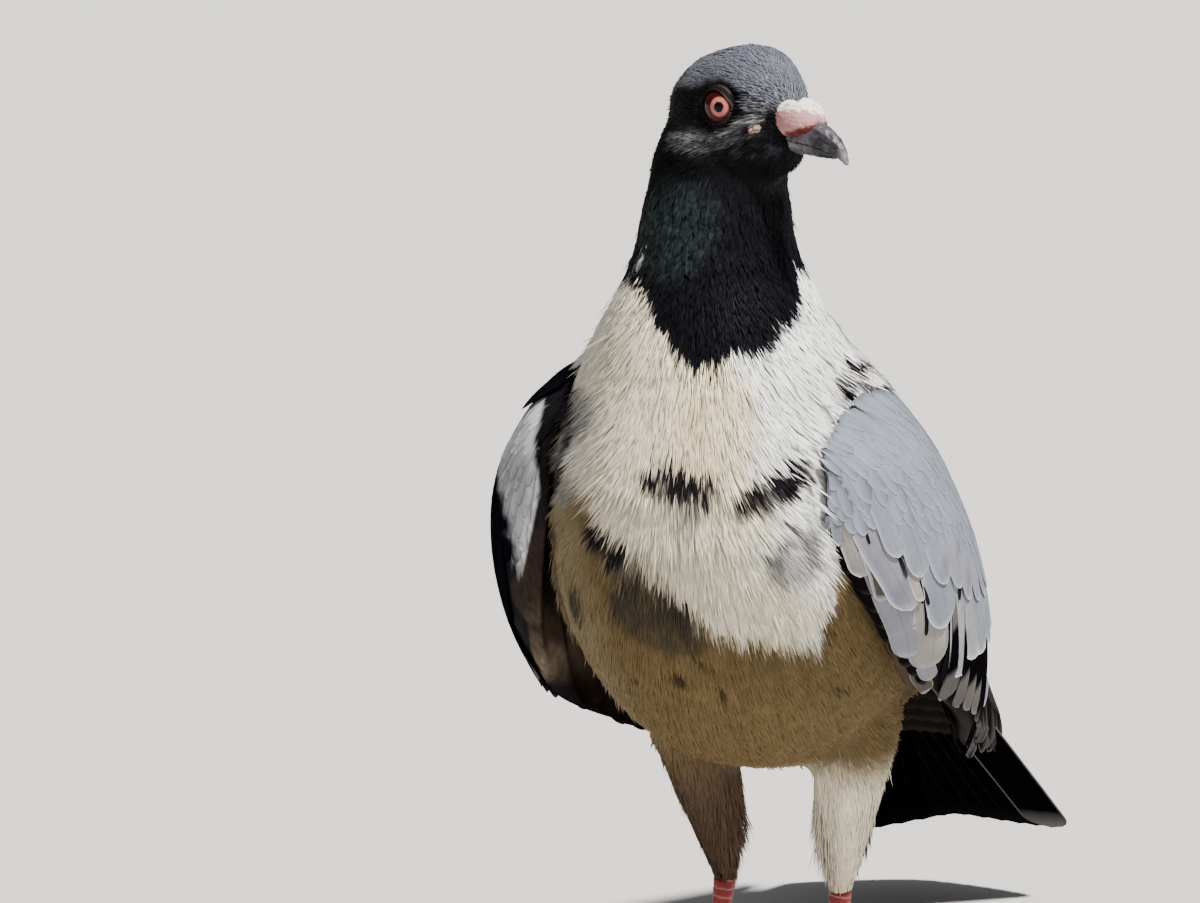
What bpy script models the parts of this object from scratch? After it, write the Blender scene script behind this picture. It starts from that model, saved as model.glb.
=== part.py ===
"""A life-size standing pigeon, head turned to its left, wings folded and hanging a little loose.

Metres, +Z up, the bird faces -Y and its left side is +X. The floor is z = 0.
Lengths below are in millimetres and are multiplied by MM where they are used.
"""

import math

import bmesh
import bpy
from mathutils import Matrix, Vector

MM = 0.001
GAP = 0.3              # clearance between neighbouring pieces

# Trunk and neck: each row is one cross section along the bird's axis, from the tail root to the head.
# axis_x, axis_y, axis_z, half_width, height above the axis, depth below the axis, narrowing to the back
TRUNK_SECTIONS = (
    (0, 116, 64, 8, 4, 6, 0),
    (0, 102, 73, 16, 9, 14, 0.05),
    (0, 78, 86, 23.5, 16, 25, 0.15),
    (0, 45, 101, 33.5, 27, 42, 0.2),
    (0, 6, 118, 43.5, 35, 59, 0.21),
    (0, -24, 135, 46.5, 35, 65, 0.19),
    (0, -44, 155, 41.5, 31, 58, 0.12),
    (0.3, -53, 176, 30.6, 25, 36, 0.03),
    (0.8, -55.5, 196, 20.6, 20, 22, 0),
    (1.2, -55, 213, 17.3, 18, 17.5, 0),
    (2.8, -53.5, 227, 14.8, 14, 13.5, 0),
    (4.6, -54.5, 237, 10, 10.5, 10, 0),
)
TRUNK_STEPS = 44       # rings along the trunk and neck
TRUNK_SIDES = 36       # points round a ring
BODY_ROUNDNESS = 2.15  # 2 is an ellipse, more is boxier

# Head, in its own frame: the bill points to -Y, the origin lies between the eyes.
HEAD_PLACE = (7.2, -57.5, 232.0)
HEAD_TURN = 64.0       # degrees to the bird's left
# y, half width, top, bottom
HEAD_SECTIONS = (
    (19.5, 1.5, 2, -3),
    (16.4, 7.4, 7.8, -10),
    (10, 11.0, 12.6, -15),
    (2, 12.3, 15.2, -16.4),
    (-5, 12.0, 16.2, -16.6),
    (-11, 10.3, 15.2, -16.2),
    (-15.4, 7.7, 12.2, -14.6),
    (-18, 5.0, 8.0, -12.2),
    (-19, 1.5, 1.5, -7),
)
EYE_PLACE = (6.7, -3.2, 1.2)
EYE_RADIUS = 6.0

# Bill: y, half width, top, lip line
UPPER_BILL = (
    (-11, 4.6, 0.0, -4.6),
    (-16, 4.5, 0.4, -5.2),
    (-21, 4.0, -0.2, -5.9),
    (-26, 3.3, -1.4, -6.7),
    (-30, 2.4, -3.6, -7.8),
    (-32.6, 1.5, -6.2, -9.2),
    (-34.0, 0.6, -9.2, -10.9),
)
# y, half width, lip line, bottom
LOWER_BILL = (
    (-11, 4.2, -4.9, -8.6),
    (-16, 4.0, -5.5, -8.9),
    (-21, 3.4, -6.2, -9.2),
    (-26, 2.6, -7.0, -9.4),
    (-30.6, 1.3, -8.3, -9.6),
)
CERE_LOBE = (3.1, 5.6, 3.4)   # half sizes of each swollen lobe above the nostril
CERE_PLACE = (2.1, -20.2, 0.9)

# Wings: y, then (x, z) of the upper edge, of the fullest point and of the lower edge, then thickness.
# The left wing lies close to the breast; the right one hangs a little open in front.
LEFT_WING = (
    (-75, (30, 151), (33.5, 145.5), (32, 141), 4),
    (-69, (31.5, 160), (41.5, 148), (37, 130), 8),
    (-60, (30, 165), (50, 142), (41, 117), 10),
    (-45, (28, 169.5), (55.5, 131), (46, 101), 12),
    (-20, (22, 167), (55.3, 115), (48, 85), 14),
    (5, (16, 160), (52.3, 102), (48, 74), 13),
    (35, (11, 145), (42, 92), (39, 64), 10),
    (65, (8, 125), (33.5, 82), (31, 57), 7),
    (98, (8, 99), (26.5, 67), (26, 52), 4),
    (131, (16, 58), (22.8, 52), (22.3, 46.5), 1.6),
)
RIGHT_WING = (
    (-68, (33, 155), (38, 147), (37, 137), 4),
    (-60, (33, 164), (49, 144), (42, 124), 7),
    (-45, (30, 171), (61, 131), (47, 102), 11),
    (-20, (23, 168), (61, 117), (54, 84), 14),
    (5, (15, 159.5), (57, 102), (53, 73), 13),
    (35, (12, 144.5), (46, 91), (43, 63), 10),
    (65, (8.5, 124), (36, 80), (33, 57), 7),
    (98, (8, 99), (27, 67), (26.5, 52), 4),
    (131, (16, 58), (22.8, 52), (22.3, 46.5), 1.6),
)
WING_STEPS = 14
WING_SIDES = 8         # points across each face
WING_FULLNESS = 1.6    # roundness of the wing above its fullest point
WING_EDGE = 0.9        # thickness left along the free edges
PRIMARIES_CUT = 84     # the flight feathers of the hand show behind this y
PRIMARIES_SLOPE = 0.55

# Tail fan
TAIL_ROOT = (0, 92, 76)
TAIL_DROP = 41.0       # degrees below level
TAIL_LENGTH = 87
TAIL_HALF_WIDTHS = (15, 32.5)
TAIL_SWING = 1.8       # how far the tip lies to the bird's left
TAIL_ARCH = 7.5        # how far the outer feathers lie below the middle ones
TAIL_ROLL = 2.7        # how much lower the right edge is than the left
TAIL_THICKNESS = 1.6
TAIL_FEATHERS = 12

# Legs: hip, ankle and foot, for the left side; the right leg stands a little further back.
HIP = (22, -5, 84)
ANKLE = (16, 8, 31)
FOOT = (17, -1, 0)
RIGHT_LEG_BACK = 8
LEG_LEAN = 1.8         # how far the ankles and feet stand to the bird's right
THIGH_RADII = (12.8, 11.4, 9.4, 6.6, 3.9)
THIGH_DEPTH = 1.75     # how much deeper than wide the thigh is at the hip
SHANK_RADII = (2.9, 2.2, 2.1, 2.9)
# name, direction in degrees (0 is forward, positive outward), length, radius
TOES = (
    ("inner", -32, 21, 2.05),
    ("middle", 4, 28, 2.25),
    ("outer", 42, 23, 2.05),
    ("hind", 176, 13, 1.95),
)
SOLE_SINK = 0.45       # how much of each toe's underside is flattened by the floor
CLAW_LENGTH = 7.0

COLOURS = {
    "slate": (0.055, 0.06, 0.075, 1.0),
    "black": (0.012, 0.012, 0.016, 1.0),
    "cream": (0.72, 0.68, 0.58, 1.0),
    "wing_grey": (0.36, 0.38, 0.43, 1.0),
    "dark_grey": (0.03, 0.03, 0.035, 1.0),
    "eye_red": (0.35, 0.03, 0.02, 1.0),
    "horn": (0.05, 0.045, 0.055, 1.0),
    "cere": (0.75, 0.62, 0.55, 1.0),
    "scale_red": (0.45, 0.06, 0.06, 1.0),
}


def clear_scene():
    for obj in list(bpy.data.objects):
        bpy.data.objects.remove(obj, do_unlink=True)


def new_collection(name, hidden=False):
    made = bpy.data.collections.new(name)
    bpy.context.scene.collection.children.link(made)
    made.hide_render = hidden
    return made


def material(name, roughness):
    made = bpy.data.materials.new(name)
    made.use_nodes = True
    shader = made.node_tree.nodes["Principled BSDF"]
    shader.inputs["Base Color"].default_value = COLOURS[name]
    shader.inputs["Roughness"].default_value = roughness
    return made


def smooth_rows(rows, steps):
    """Rows of numbers drawn through the given ones by a Catmull-Rom curve, evenly between rows."""
    flat = [[x for item in row for x in (item if isinstance(item, tuple) else (item,))] for row in rows]
    made = []
    for i in range(steps + 1):
        at = i / steps * (len(flat) - 1)
        k = min(int(at), len(flat) - 2)
        t = at - k
        a, b, c, d = (flat[min(max(k + j, 0), len(flat) - 1)] for j in (-1, 0, 1, 2))
        made.append([
            0.5 * (2 * q + (r - p) * t + (2 * p - 5 * q + 4 * r - s) * t**2 + (3 * q - p - 3 * r + s) * t**3)
            for p, q, r, s in zip(a, b, c, d)
        ])
    return made


def round_section(centre, side, up, half_width, above, below, sides, roundness=2.0, taper=0.0):
    """Points round a section whose halves may differ in height; the upper one can taper to its top."""
    points = []
    for i in range(sides):
        turn = 2 * math.pi * i / sides
        across, rise = math.cos(turn), math.sin(turn)
        across = math.copysign(abs(across) ** (2 / roundness), across)
        rise = math.copysign(abs(rise) ** (2 / roundness), rise)
        height = above if rise >= 0 else below
        across *= 1 - taper * max(rise, 0)
        points.append(centre + side * (half_width * across) + up * (height * rise))
    return points


def loft(name, rings, finish, collection):
    """A closed body drawn through rings of equally many points, given in millimetres."""
    mesh = bpy.data.meshes.new(name)
    bm = bmesh.new()
    loops = [[bm.verts.new(Vector(p) * MM) for p in ring] for ring in rings]
    for first, second in zip(loops, loops[1:]):
        for i in range(len(first)):
            j = (i + 1) % len(first)
            bm.faces.new((first[i], first[j], second[j], second[i]))
    for loop in (loops[0], loops[-1]):
        middle = bm.verts.new(sum((v.co for v in loop), Vector()) / len(loop))
        for i in range(len(loop)):
            bm.faces.new((loop[i], loop[(i + 1) % len(loop)], middle))
    bmesh.ops.recalc_face_normals(bm, faces=bm.faces)
    bm.to_mesh(mesh)
    bm.free()
    obj = bpy.data.objects.new(name, mesh)
    mesh.materials.append(finish)
    collection.objects.link(obj)
    mesh.shade_smooth()
    return obj


def ball(name, centre, radii, turn, finish, collection, sides=20):
    """An ellipsoid; centre and half sizes in millimetres, turned by a matrix."""
    mesh = bpy.data.meshes.new(name)
    bm = bmesh.new()
    bmesh.ops.create_uvsphere(bm, u_segments=sides, v_segments=sides // 2 + 2, radius=1)
    bmesh.ops.transform(bm, matrix=Matrix.Diagonal((*[r * MM for r in radii], 1)), verts=bm.verts)
    bm.to_mesh(mesh)
    bm.free()
    mesh.materials.append(finish)
    mesh.shade_smooth()
    obj = bpy.data.objects.new(name, mesh)
    obj.matrix_world = Matrix.Translation(Vector(centre) * MM) @ turn.to_4x4()
    collection.objects.link(obj)
    return obj


def bake_modifiers(obj):
    """Turns the evaluated shape into the object's own mesh, at the origin."""
    graph = bpy.context.evaluated_depsgraph_get()
    graph.update()
    mesh = bpy.data.meshes.new_from_object(obj.evaluated_get(graph))
    mesh.transform(obj.matrix_world)
    obj.modifiers.clear()
    obj.data = mesh
    obj.matrix_world = Matrix.Identity(4)
    return obj


def boolean(obj, other, operation):
    modifier = obj.modifiers.new(operation.title(), "BOOLEAN")
    modifier.operation = operation
    modifier.object = other
    return bake_modifiers(obj)


def unite(obj, others):
    for other in others:
        boolean(obj, other, "UNION")
        bpy.data.objects.remove(other)
    return obj


def grown(obj, by, helpers):
    """A helper copy of obj whose surface stands `by` millimetres further out."""
    copy = bpy.data.objects.new(obj.name + "_grown", obj.data.copy())
    copy.matrix_world = obj.matrix_world
    helpers.objects.link(copy)
    copy.display_type = "WIRE"
    copy.hide_render = True
    modifier = copy.modifiers.new("Grow", "DISPLACE")
    modifier.strength = by * MM
    modifier.mid_level = 0
    return bake_modifiers(copy)


def trim(obj, neighbour, helpers, gap=GAP):
    """Cuts obj back from its neighbour, leaving the gap, and keeps the largest piece."""
    cutter = grown(neighbour, gap, helpers)
    boolean(obj, cutter, "DIFFERENCE")
    bpy.data.objects.remove(cutter)
    return keep_largest(obj)


def keep_largest(obj):
    bm = bmesh.new()
    bm.from_mesh(obj.data)
    left, parts = set(bm.verts), []
    while left:
        reached, edge = set(), [left.pop()]
        while edge:
            vert = edge.pop()
            reached.add(vert)
            for link in vert.link_edges:
                other = link.other_vert(vert)
                if other in left:
                    left.discard(other)
                    edge.append(other)
        parts.append(reached)
    keep = max(parts, key=len)
    bmesh.ops.delete(bm, geom=[v for part in parts if part is not keep for v in part], context="VERTS")
    bm.to_mesh(obj.data)
    bm.free()
    return obj


def cut_away(obj, point, normal):
    """Removes what lies on the normal's side of a plane and closes the cut with a flat face."""
    bm = bmesh.new()
    bm.from_mesh(obj.data)
    geometry = bm.verts[:] + bm.edges[:] + bm.faces[:]
    bmesh.ops.bisect_plane(bm, geom=geometry, plane_co=Vector(point) * MM, plane_no=normal,
                           clear_outer=True, dist=1e-7)
    open_edges = [e for e in bm.edges if e.is_boundary]
    bmesh.ops.edgeloop_fill(bm, edges=open_edges)
    bmesh.ops.triangulate(bm, faces=[f for f in bm.faces if len(f.verts) > 4])
    bmesh.ops.recalc_face_normals(bm, faces=bm.faces)
    bm.to_mesh(obj.data)
    bm.free()
    return obj


def copy_as(obj, name, finish, collection):
    copy = bpy.data.objects.new(name, obj.data.copy())
    copy.data.materials.clear()
    copy.data.materials.append(finish)
    collection.objects.link(copy)
    return copy


def trunk_rings():
    rows = smooth_rows(TRUNK_SECTIONS, TRUNK_STEPS)
    rings = []
    for i, (x, y, z, half_width, above, below, taper) in enumerate(rows):
        before, after = rows[max(i - 1, 0)], rows[min(i + 1, len(rows) - 1)]
        along = Vector((0, after[1] - before[1], after[2] - before[2])).normalized()
        up = Vector((1, 0, 0)).cross(along) * -1
        rings.append(round_section(Vector((x, y, z)), Vector((1, 0, 0)), up, half_width, above, below,
                                   TRUNK_SIDES, BODY_ROUNDNESS, taper))
    return rings


def head_matrix():
    return Matrix.Translation(HEAD_PLACE) @ Matrix.Rotation(math.radians(HEAD_TURN), 4, "Z")


def head_rings():
    place = head_matrix()
    rings = []
    for y, half_width, top, bottom in smooth_rows(HEAD_SECTIONS, 22):
        middle = (top + bottom) / 2
        ring = round_section(Vector((0, y, middle)), Vector((1, 0, 0)), Vector((0, 0, 1)), half_width,
                             top - middle, middle - bottom, 28, 2.1)
        rings.append([place @ p for p in ring])
    return rings


def bill_rings(sections, flat_below):
    """Half-round sections: the upper bill is flat below, the lower bill flat above."""
    place = head_matrix()
    rings = []
    for y, half_width, top, bottom in smooth_rows(sections, 7):
        ring = []
        height = top - bottom
        for i in range(9):
            turn = math.pi * i / 8
            rise = math.sin(turn) ** 0.8 * height
            x = half_width * math.cos(turn)
            ring.append(place @ Vector((x, y, bottom + rise if flat_below else top - rise)))
        rings.append(ring)
    return rings


def make_flesh(finishes, parts, helpers):
    """Trunk, neck and head drawn as one smooth form, then parted by thin cuts."""
    form = loft("flesh_form", trunk_rings(), finishes["cream"], helpers)
    unite(form, [loft("head_form", head_rings(), finishes["slate"], helpers)])
    remesh = form.modifiers.new("Even", "REMESH")
    remesh.mode = "VOXEL"
    remesh.voxel_size = 1.6 * MM
    smooth = form.modifiers.new("Soft", "SMOOTH")
    smooth.factor = 0.5
    smooth.iterations = 6
    thin = form.modifiers.new("Light", "DECIMATE")
    thin.ratio = 0.030
    bake_modifiers(form)
    face_way = Vector((math.sin(math.radians(HEAD_TURN)), -math.cos(math.radians(HEAD_TURN)), 0))
    nape = Vector((0, -55, 217.5))
    nape_way = (Vector((0, 0, 1)) + 0.16 * face_way).normalized()
    collar = Vector((0, -55, 183))
    collar_way = Vector((0, -0.35, 1)).normalized()
    half_gap = GAP / 2
    head = copy_as(form, "head", finishes["slate"], parts)
    cut_away(head, nape + nape_way * half_gap, -nape_way)
    neck = copy_as(form, "neck", finishes["black"], parts)
    cut_away(neck, nape - nape_way * half_gap, nape_way)
    cut_away(neck, collar + collar_way * half_gap, -collar_way)
    trunk = copy_as(form, "trunk", finishes["cream"], parts)
    cut_away(trunk, collar - collar_way * half_gap, collar_way)
    bpy.data.objects.remove(form)
    return head, neck, trunk


def make_face(head, finishes, parts, helpers):
    turn = Matrix.Rotation(math.radians(HEAD_TURN), 3, "Z")
    place = head_matrix()
    for side, name in ((1, "eye_left"), (-1, "eye_right")):
        centre = place @ Vector((EYE_PLACE[0] * side, *EYE_PLACE[1:]))
        socket = ball("socket", centre, [EYE_RADIUS + GAP] * 3, turn, finishes["slate"], helpers, 12)
        boolean(head, socket, "DIFFERENCE")
        bpy.data.objects.remove(socket)
        ball(name, centre, [EYE_RADIUS] * 3, turn, finishes["eye_red"], parts, 12)
    upper = loft("bill_upper", bill_rings(UPPER_BILL, True), finishes["horn"], parts)
    lower = loft("bill_lower", bill_rings(LOWER_BILL, False), finishes["horn"], parts)
    lobes = [
        ball("cere", place @ Vector((CERE_PLACE[0] * side, *CERE_PLACE[1:])), CERE_LOBE,
             turn @ Matrix.Rotation(math.radians(24), 3, "X"), finishes["cere"], parts, 10)
        for side in (1, -1)
    ]
    cere = unite(bake_modifiers(lobes[0]), lobes[1:])
    cere.name = "cere"
    for piece in (upper, lower, cere):
        trim(piece, head, helpers)
    trim(cere, upper, helpers)
    return upper, lower, cere


def wing_profile(upper, full, lower):
    """Points down the wing, round from the upper edge to the fullest point and on to the lower edge."""
    points = []
    for i in range(WING_SIDES + 1):
        turn = math.pi * i / WING_SIDES - math.pi / 2
        across, rise = math.cos(turn), abs(math.sin(turn))
        end = upper if turn < 0 else lower
        power = 2 / WING_FULLNESS if turn < 0 else 1
        points.append(Vector((end.x + (full.x - end.x) * across**power, full.y,
                              full.z + (end.z - full.z) * rise**power)))
    return points


def wing_ring(row, side):
    """The outer face down to the lower edge, then the inner face back up."""
    y, upper_x, upper_z, full_x, full_z, lower_x, lower_z, thickness = row
    outer = [Vector((upper_x, y, upper_z)), Vector((full_x, y, full_z)), Vector((lower_x, y, lower_z))]
    inner = [p - Vector((t, 0, 0)) for p, t in zip(outer, (WING_EDGE * 1.5, thickness, WING_EDGE))]
    inner[0].z -= WING_EDGE
    ring = wing_profile(*outer) + wing_profile(*inner)[::-1]
    return [Vector((p.x * side, p.y, p.z)) for p in ring]


def make_wing(side, trunk, tail, finishes, parts, helpers):
    name = "left" if side > 0 else "right"
    sections = LEFT_WING if side > 0 else RIGHT_WING
    rings = [wing_ring(row, side) for row in smooth_rows(sections, WING_STEPS)]
    form = loft("wing_form", rings, finishes["wing_grey"], helpers)
    trim(form, trunk, helpers)
    trim(form, tail, helpers)
    cut_at = Vector((0, PRIMARIES_CUT, 60))
    cut_way = Vector((0, 1, -PRIMARIES_SLOPE)).normalized()
    wing = copy_as(form, "wing_" + name, finishes["wing_grey"], parts)
    cut_away(wing, cut_at - cut_way * GAP / 2, cut_way)
    primaries = copy_as(form, "primaries_" + name, finishes["dark_grey"], parts)
    cut_away(primaries, cut_at + cut_way * GAP / 2, -cut_way)
    bpy.data.objects.remove(form)
    keep_largest(wing)
    keep_largest(primaries)
    return wing, primaries


def make_tail(trunk, finishes, parts, helpers):
    """A shallow arched fan with a rounded tip for each of its feathers."""
    drop = math.radians(TAIL_DROP)
    along = Vector((0, math.cos(drop), -math.sin(drop)))
    out = Vector((0, math.sin(drop), math.cos(drop)))
    rings = []
    length_steps, across_steps = 2, TAIL_FEATHERS * 3
    for i in range(length_steps + 1):
        s = i / length_steps
        half = TAIL_HALF_WIDTHS[0] + (TAIL_HALF_WIDTHS[1] - TAIL_HALF_WIDTHS[0]) * s
        top, bottom = [], []
        for j in range(across_steps + 1):
            u = 2 * j / across_steps - 1
            scallop = 2.2 * abs(math.cos(math.pi * TAIL_FEATHERS / 2 * u)) * s**3
            reach = TAIL_LENGTH * s * (1 - 0.05 * u * u) - scallop
            sag = TAIL_ARCH * abs(u) ** 1.3 - TAIL_ROLL * u
            across = Vector((half * u + TAIL_SWING * s, 0, 0))
            middle = Vector(TAIL_ROOT) + along * reach + across - out * (sag * s)
            top.append(middle + out * TAIL_THICKNESS / 2)
            bottom.append(middle - out * TAIL_THICKNESS / 2)
        rings.append(top + bottom[::-1])
    tail = loft("tail", rings, finishes["dark_grey"], parts)
    return trim(tail, trunk, helpers)


def tube_rings(points, radii, sides, depth=1.0, end_depth=None):
    """Rings round a path; the radii are spread evenly along it, and the depth is upright or fore and aft."""
    rings = []
    end_depth = depth if end_depth is None else end_depth
    for i, point in enumerate(points):
        along = (points[min(i + 1, len(points) - 1)] - points[max(i - 1, 0)]).normalized()
        side = along.cross(Vector((0, 0, 1)))
        side = side.normalized() if side.length > 0.4 else Vector((1, 0, 0))
        up = side.cross(along).normalized()
        t = i / (len(points) - 1)
        k = min(int(t * (len(radii) - 1)), len(radii) - 2)
        radius = radii[k] + (radii[k + 1] - radii[k]) * (t * (len(radii) - 1) - k)
        deep = radius * (depth + (end_depth - depth) * t)
        rings.append(round_section(point, side, up, radius, deep, deep, sides))
    return rings


def path_between(start, end, steps, bow=Vector()):
    return [start.lerp(end, i / steps) + bow * math.sin(math.pi * i / steps) for i in range(steps + 1)]


def toe_path(foot, way, length, radius):
    """A toe from inside the foot to its tip, padded between its joints and level along the floor."""
    points, radii = [], []
    steps = 7
    for i in range(steps + 1):
        t = i / steps
        thick = radius * (1.12 - 0.26 * t + 0.07 * math.cos(math.pi * i))
        rise = (3.4 - radius) * max(0.0, 1 - t / 0.3) ** 2
        points.append(Vector((foot.x, foot.y, thick - SOLE_SINK + rise)) + way * ((length + 1.5) * t - 1.5))
        radii.append(thick)
    return points, radii


def make_claw(name, base, way, radius, finishes, parts):
    """A curved, tapering claw that ends just clear of the floor."""
    steps, points, radii = 4, [], []
    for i in range(steps + 1):
        t = i / steps
        arch = 0.9 * math.sin(math.pi * t) - 0.8 * t**2
        points.append(base + way * (CLAW_LENGTH * t) + Vector((0, 0, arch)))
        radii.append(radius * (1 - t) ** 0.7 + 0.25)
    return loft(name, tube_rings(points, radii, 6, 1.1), finishes["horn"], parts)


def make_leg(side, trunk, finishes, parts, helpers):
    name = "left" if side > 0 else "right"
    back = Vector((0, 0 if side > 0 else RIGHT_LEG_BACK, 0))
    hip, ankle, foot = (Vector((p[0] * side, p[1], p[2])) + back for p in (HIP, ANKLE, FOOT))
    hip -= back * 0.6
    ankle.x -= LEG_LEAN
    foot.x -= LEG_LEAN
    rings = tube_rings(path_between(hip, ankle, 6), THIGH_RADII, 14, THIGH_DEPTH, 1.0)
    thigh = loft("thigh_" + name, rings, finishes["cream"], parts)
    trim(thigh, trunk, helpers)
    down = (foot - ankle).normalized()
    shank_top = ankle + down * GAP
    shank_foot = foot + Vector((0, 0, 4.2))
    rings = tube_rings(path_between(shank_top, shank_foot, 4), SHANK_RADII, 10)
    shank = loft("shank_" + name, rings, finishes["scale_red"], parts)
    toes = []
    for toe, angle, length, radius in TOES:
        turn = math.radians(angle) * side
        way = Vector((math.sin(turn), -math.cos(turn), 0))
        points, radii = toe_path(foot, way, length, radius)
        toes.append(loft("toe", tube_rings(points, radii, 8), finishes["scale_red"], parts))
        tip = points[-1] + way * (GAP + 0.25)
        make_claw(f"claw_{name}_{toe}", tip, way, radii[-1] * 0.62, finishes, parts)
    pad = ball("pad", foot + Vector((0, 0, 2.1)), (4.4, 4.4, 2.6), Matrix.Identity(3),
               finishes["scale_red"], parts, 10)
    feet = unite(bake_modifiers(pad), toes)
    feet.name = "foot_" + name
    cut_away(feet, (0, 0, 0), Vector((0, 0, -1)))
    trim(shank, feet, helpers)
    trim(shank, thigh, helpers)
    return feet


def centre_on_floor(parts):
    """Moves the bird so that the middle of its box stands over the origin."""
    bpy.context.view_layer.update()
    corners = [obj.matrix_world @ Vector(c) for obj in parts.objects for c in obj.bound_box]
    low, high = (Vector([pick(c[k] for c in corners) for k in range(3)]) for pick in (min, max))
    stand = bpy.data.objects.new("pigeon", None)
    parts.objects.link(stand)
    for obj in parts.objects:
        if obj is not stand:
            obj.parent = stand
    stand.location = (-(low.x + high.x) / 2, -(low.y + high.y) / 2, 0)


def main():
    clear_scene()
    parts = new_collection("standing_pigeon")
    helpers = new_collection("helpers", hidden=True)
    finishes = {name: material(name, 0.25 if name == "eye_red" else 0.7) for name in COLOURS}
    head, neck, trunk = make_flesh(finishes, parts, helpers)
    make_face(head, finishes, parts, helpers)
    tail = make_tail(trunk, finishes, parts, helpers)
    for side in (1, -1):
        make_wing(side, trunk, tail, finishes, parts, helpers)
        make_leg(side, trunk, finishes, parts, helpers)
    centre_on_floor(parts)


main()
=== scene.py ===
import math
import time

import bmesh
import bpy
import numpy as np
from mathutils import Matrix, Vector
from mathutils.bvhtree import BVHTree
from mathutils.kdtree import KDTree


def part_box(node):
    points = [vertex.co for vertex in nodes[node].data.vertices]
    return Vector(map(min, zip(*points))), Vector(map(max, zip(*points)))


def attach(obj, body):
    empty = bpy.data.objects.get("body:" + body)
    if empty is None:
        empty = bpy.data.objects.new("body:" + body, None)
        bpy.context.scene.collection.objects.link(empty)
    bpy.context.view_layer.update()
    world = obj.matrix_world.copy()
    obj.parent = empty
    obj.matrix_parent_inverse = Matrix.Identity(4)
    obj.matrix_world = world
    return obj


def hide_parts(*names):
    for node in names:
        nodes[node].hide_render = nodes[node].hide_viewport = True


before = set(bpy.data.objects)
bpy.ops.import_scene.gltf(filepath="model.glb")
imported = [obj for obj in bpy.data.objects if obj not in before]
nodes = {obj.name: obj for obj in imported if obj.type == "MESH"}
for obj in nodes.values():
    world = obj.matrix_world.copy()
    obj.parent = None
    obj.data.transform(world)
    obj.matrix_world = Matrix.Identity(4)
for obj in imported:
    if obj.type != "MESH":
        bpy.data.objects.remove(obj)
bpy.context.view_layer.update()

mm = 0.001
started = time.time()


def report(stage):
    print(f"[pigeon] {stage} at {time.time() - started:.1f} s")


# places: x to the bird's left, y to its tail, z up, in millimetres from the middle of its stance
trunkLow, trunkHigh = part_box("trunk")
birdOrigin = np.array([(trunkLow.x + trunkHigh.x) / 2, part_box("wing_left")[0].y + 75 * mm, 0])


def worldOf(places):
    return np.asarray(places, float) * mm + birdOrigin


def birdOf(points):
    return (np.asarray(points, float) - birdOrigin) / mm


def middleOf(node):
    low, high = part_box(node)
    return (low + high) / 2


# the head's own frame: x to its left, y to the nape, the bill along -y,
# its middle a little behind and below the eyes
acrossHead = (middleOf("eye_left") - middleOf("eye_right")).normalized()
headBack = Vector((0, 0, 1)).cross(acrossHead)
eyeSpread = (middleOf("eye_left") - middleOf("eye_right")).length / 2 / mm
eyeNode = np.array([0, -3.2, 1.2])
headAxes = np.array([acrossHead, headBack, (0, 0, 1)])
eyeMiddle = (middleOf("eye_left") + middleOf("eye_right")) / 2
headMiddle = np.array(eyeMiddle) - headAxes.T @ eyeNode * mm
# the ball sits a little back in its socket
eyeLocal = eyeNode + np.array([eyeSpread, 0.7, 0.3])


def headPlace(places):
    return np.asarray(places, float) @ headAxes * mm + headMiddle


def headLocal(points):
    return (np.asarray(points, float) - headMiddle) @ headAxes.T / mm


# small tools
def smoothStep(value, low, high):
    t = np.clip((np.asarray(value, float) - low) / (high - low), 0, 1)
    return t * t * (3 - 2 * t)


def unit(vectors):
    return vectors / np.maximum(np.linalg.norm(vectors, axis=-1, keepdims=True), 1e-12)


def flatten(vectors, normals):
    return vectors - normals * (vectors * normals).sum(-1, keepdims=True)


def mix(a, b, share):
    share = np.asarray(share, float)[..., None]
    return np.asarray(a, float) * (1 - share) + np.asarray(b, float) * share


def lineAt(line, at):
    # a line through pairs of numbers, read at a place along the first of them
    places, values = zip(*line)
    return np.interp(at, places, values)


def ringFaces(index):
    # quads between neighbouring rows of points, each row closed to a ring
    after = np.roll(index, -1, 1)
    return np.stack([index[:-1], after[:-1], after[1:], index[1:]], -1).reshape(-1, 4)


def buildMesh(name, points, groups, finish=None):
    # groups are arrays of faces, each array with one number of corners
    mesh = bpy.data.meshes.new(name)
    groups = [np.asarray(g) for g in groups if len(g)]
    loops = np.concatenate([g.ravel() for g in groups]).astype(np.int32)
    sizes = np.concatenate([np.full(len(g), g.shape[1]) for g in groups])
    starts = np.concatenate([[0], np.cumsum(sizes)[:-1]]).astype(np.int32)
    mesh.vertices.add(len(points))
    mesh.vertices.foreach_set("co", np.asarray(points, np.float32).ravel())
    mesh.loops.add(len(loops))
    mesh.loops.foreach_set("vertex_index", loops)
    mesh.polygons.add(len(sizes))
    mesh.polygons.foreach_set("loop_start", starts)
    mesh.update(calc_edges=True)
    mesh.shade_smooth()
    if finish:
        mesh.materials.append(finish)
    return mesh


def fixNormals(mesh):
    bm = bmesh.new()
    bm.from_mesh(mesh)
    bmesh.ops.recalc_face_normals(bm, faces=bm.faces)
    bm.to_mesh(mesh)
    bm.free()


def addPiece(name, mesh):
    obj = bpy.data.objects.new(name, mesh)
    bpy.context.scene.collection.objects.link(obj)
    return obj


def putColour(mesh, name, colours):
    layer = mesh.attributes.new(name, "FLOAT_COLOR", "POINT")
    full = np.ones((len(colours), 4), np.float32)
    full[:, :3] = colours
    layer.data.foreach_set("color", full.ravel())


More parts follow.
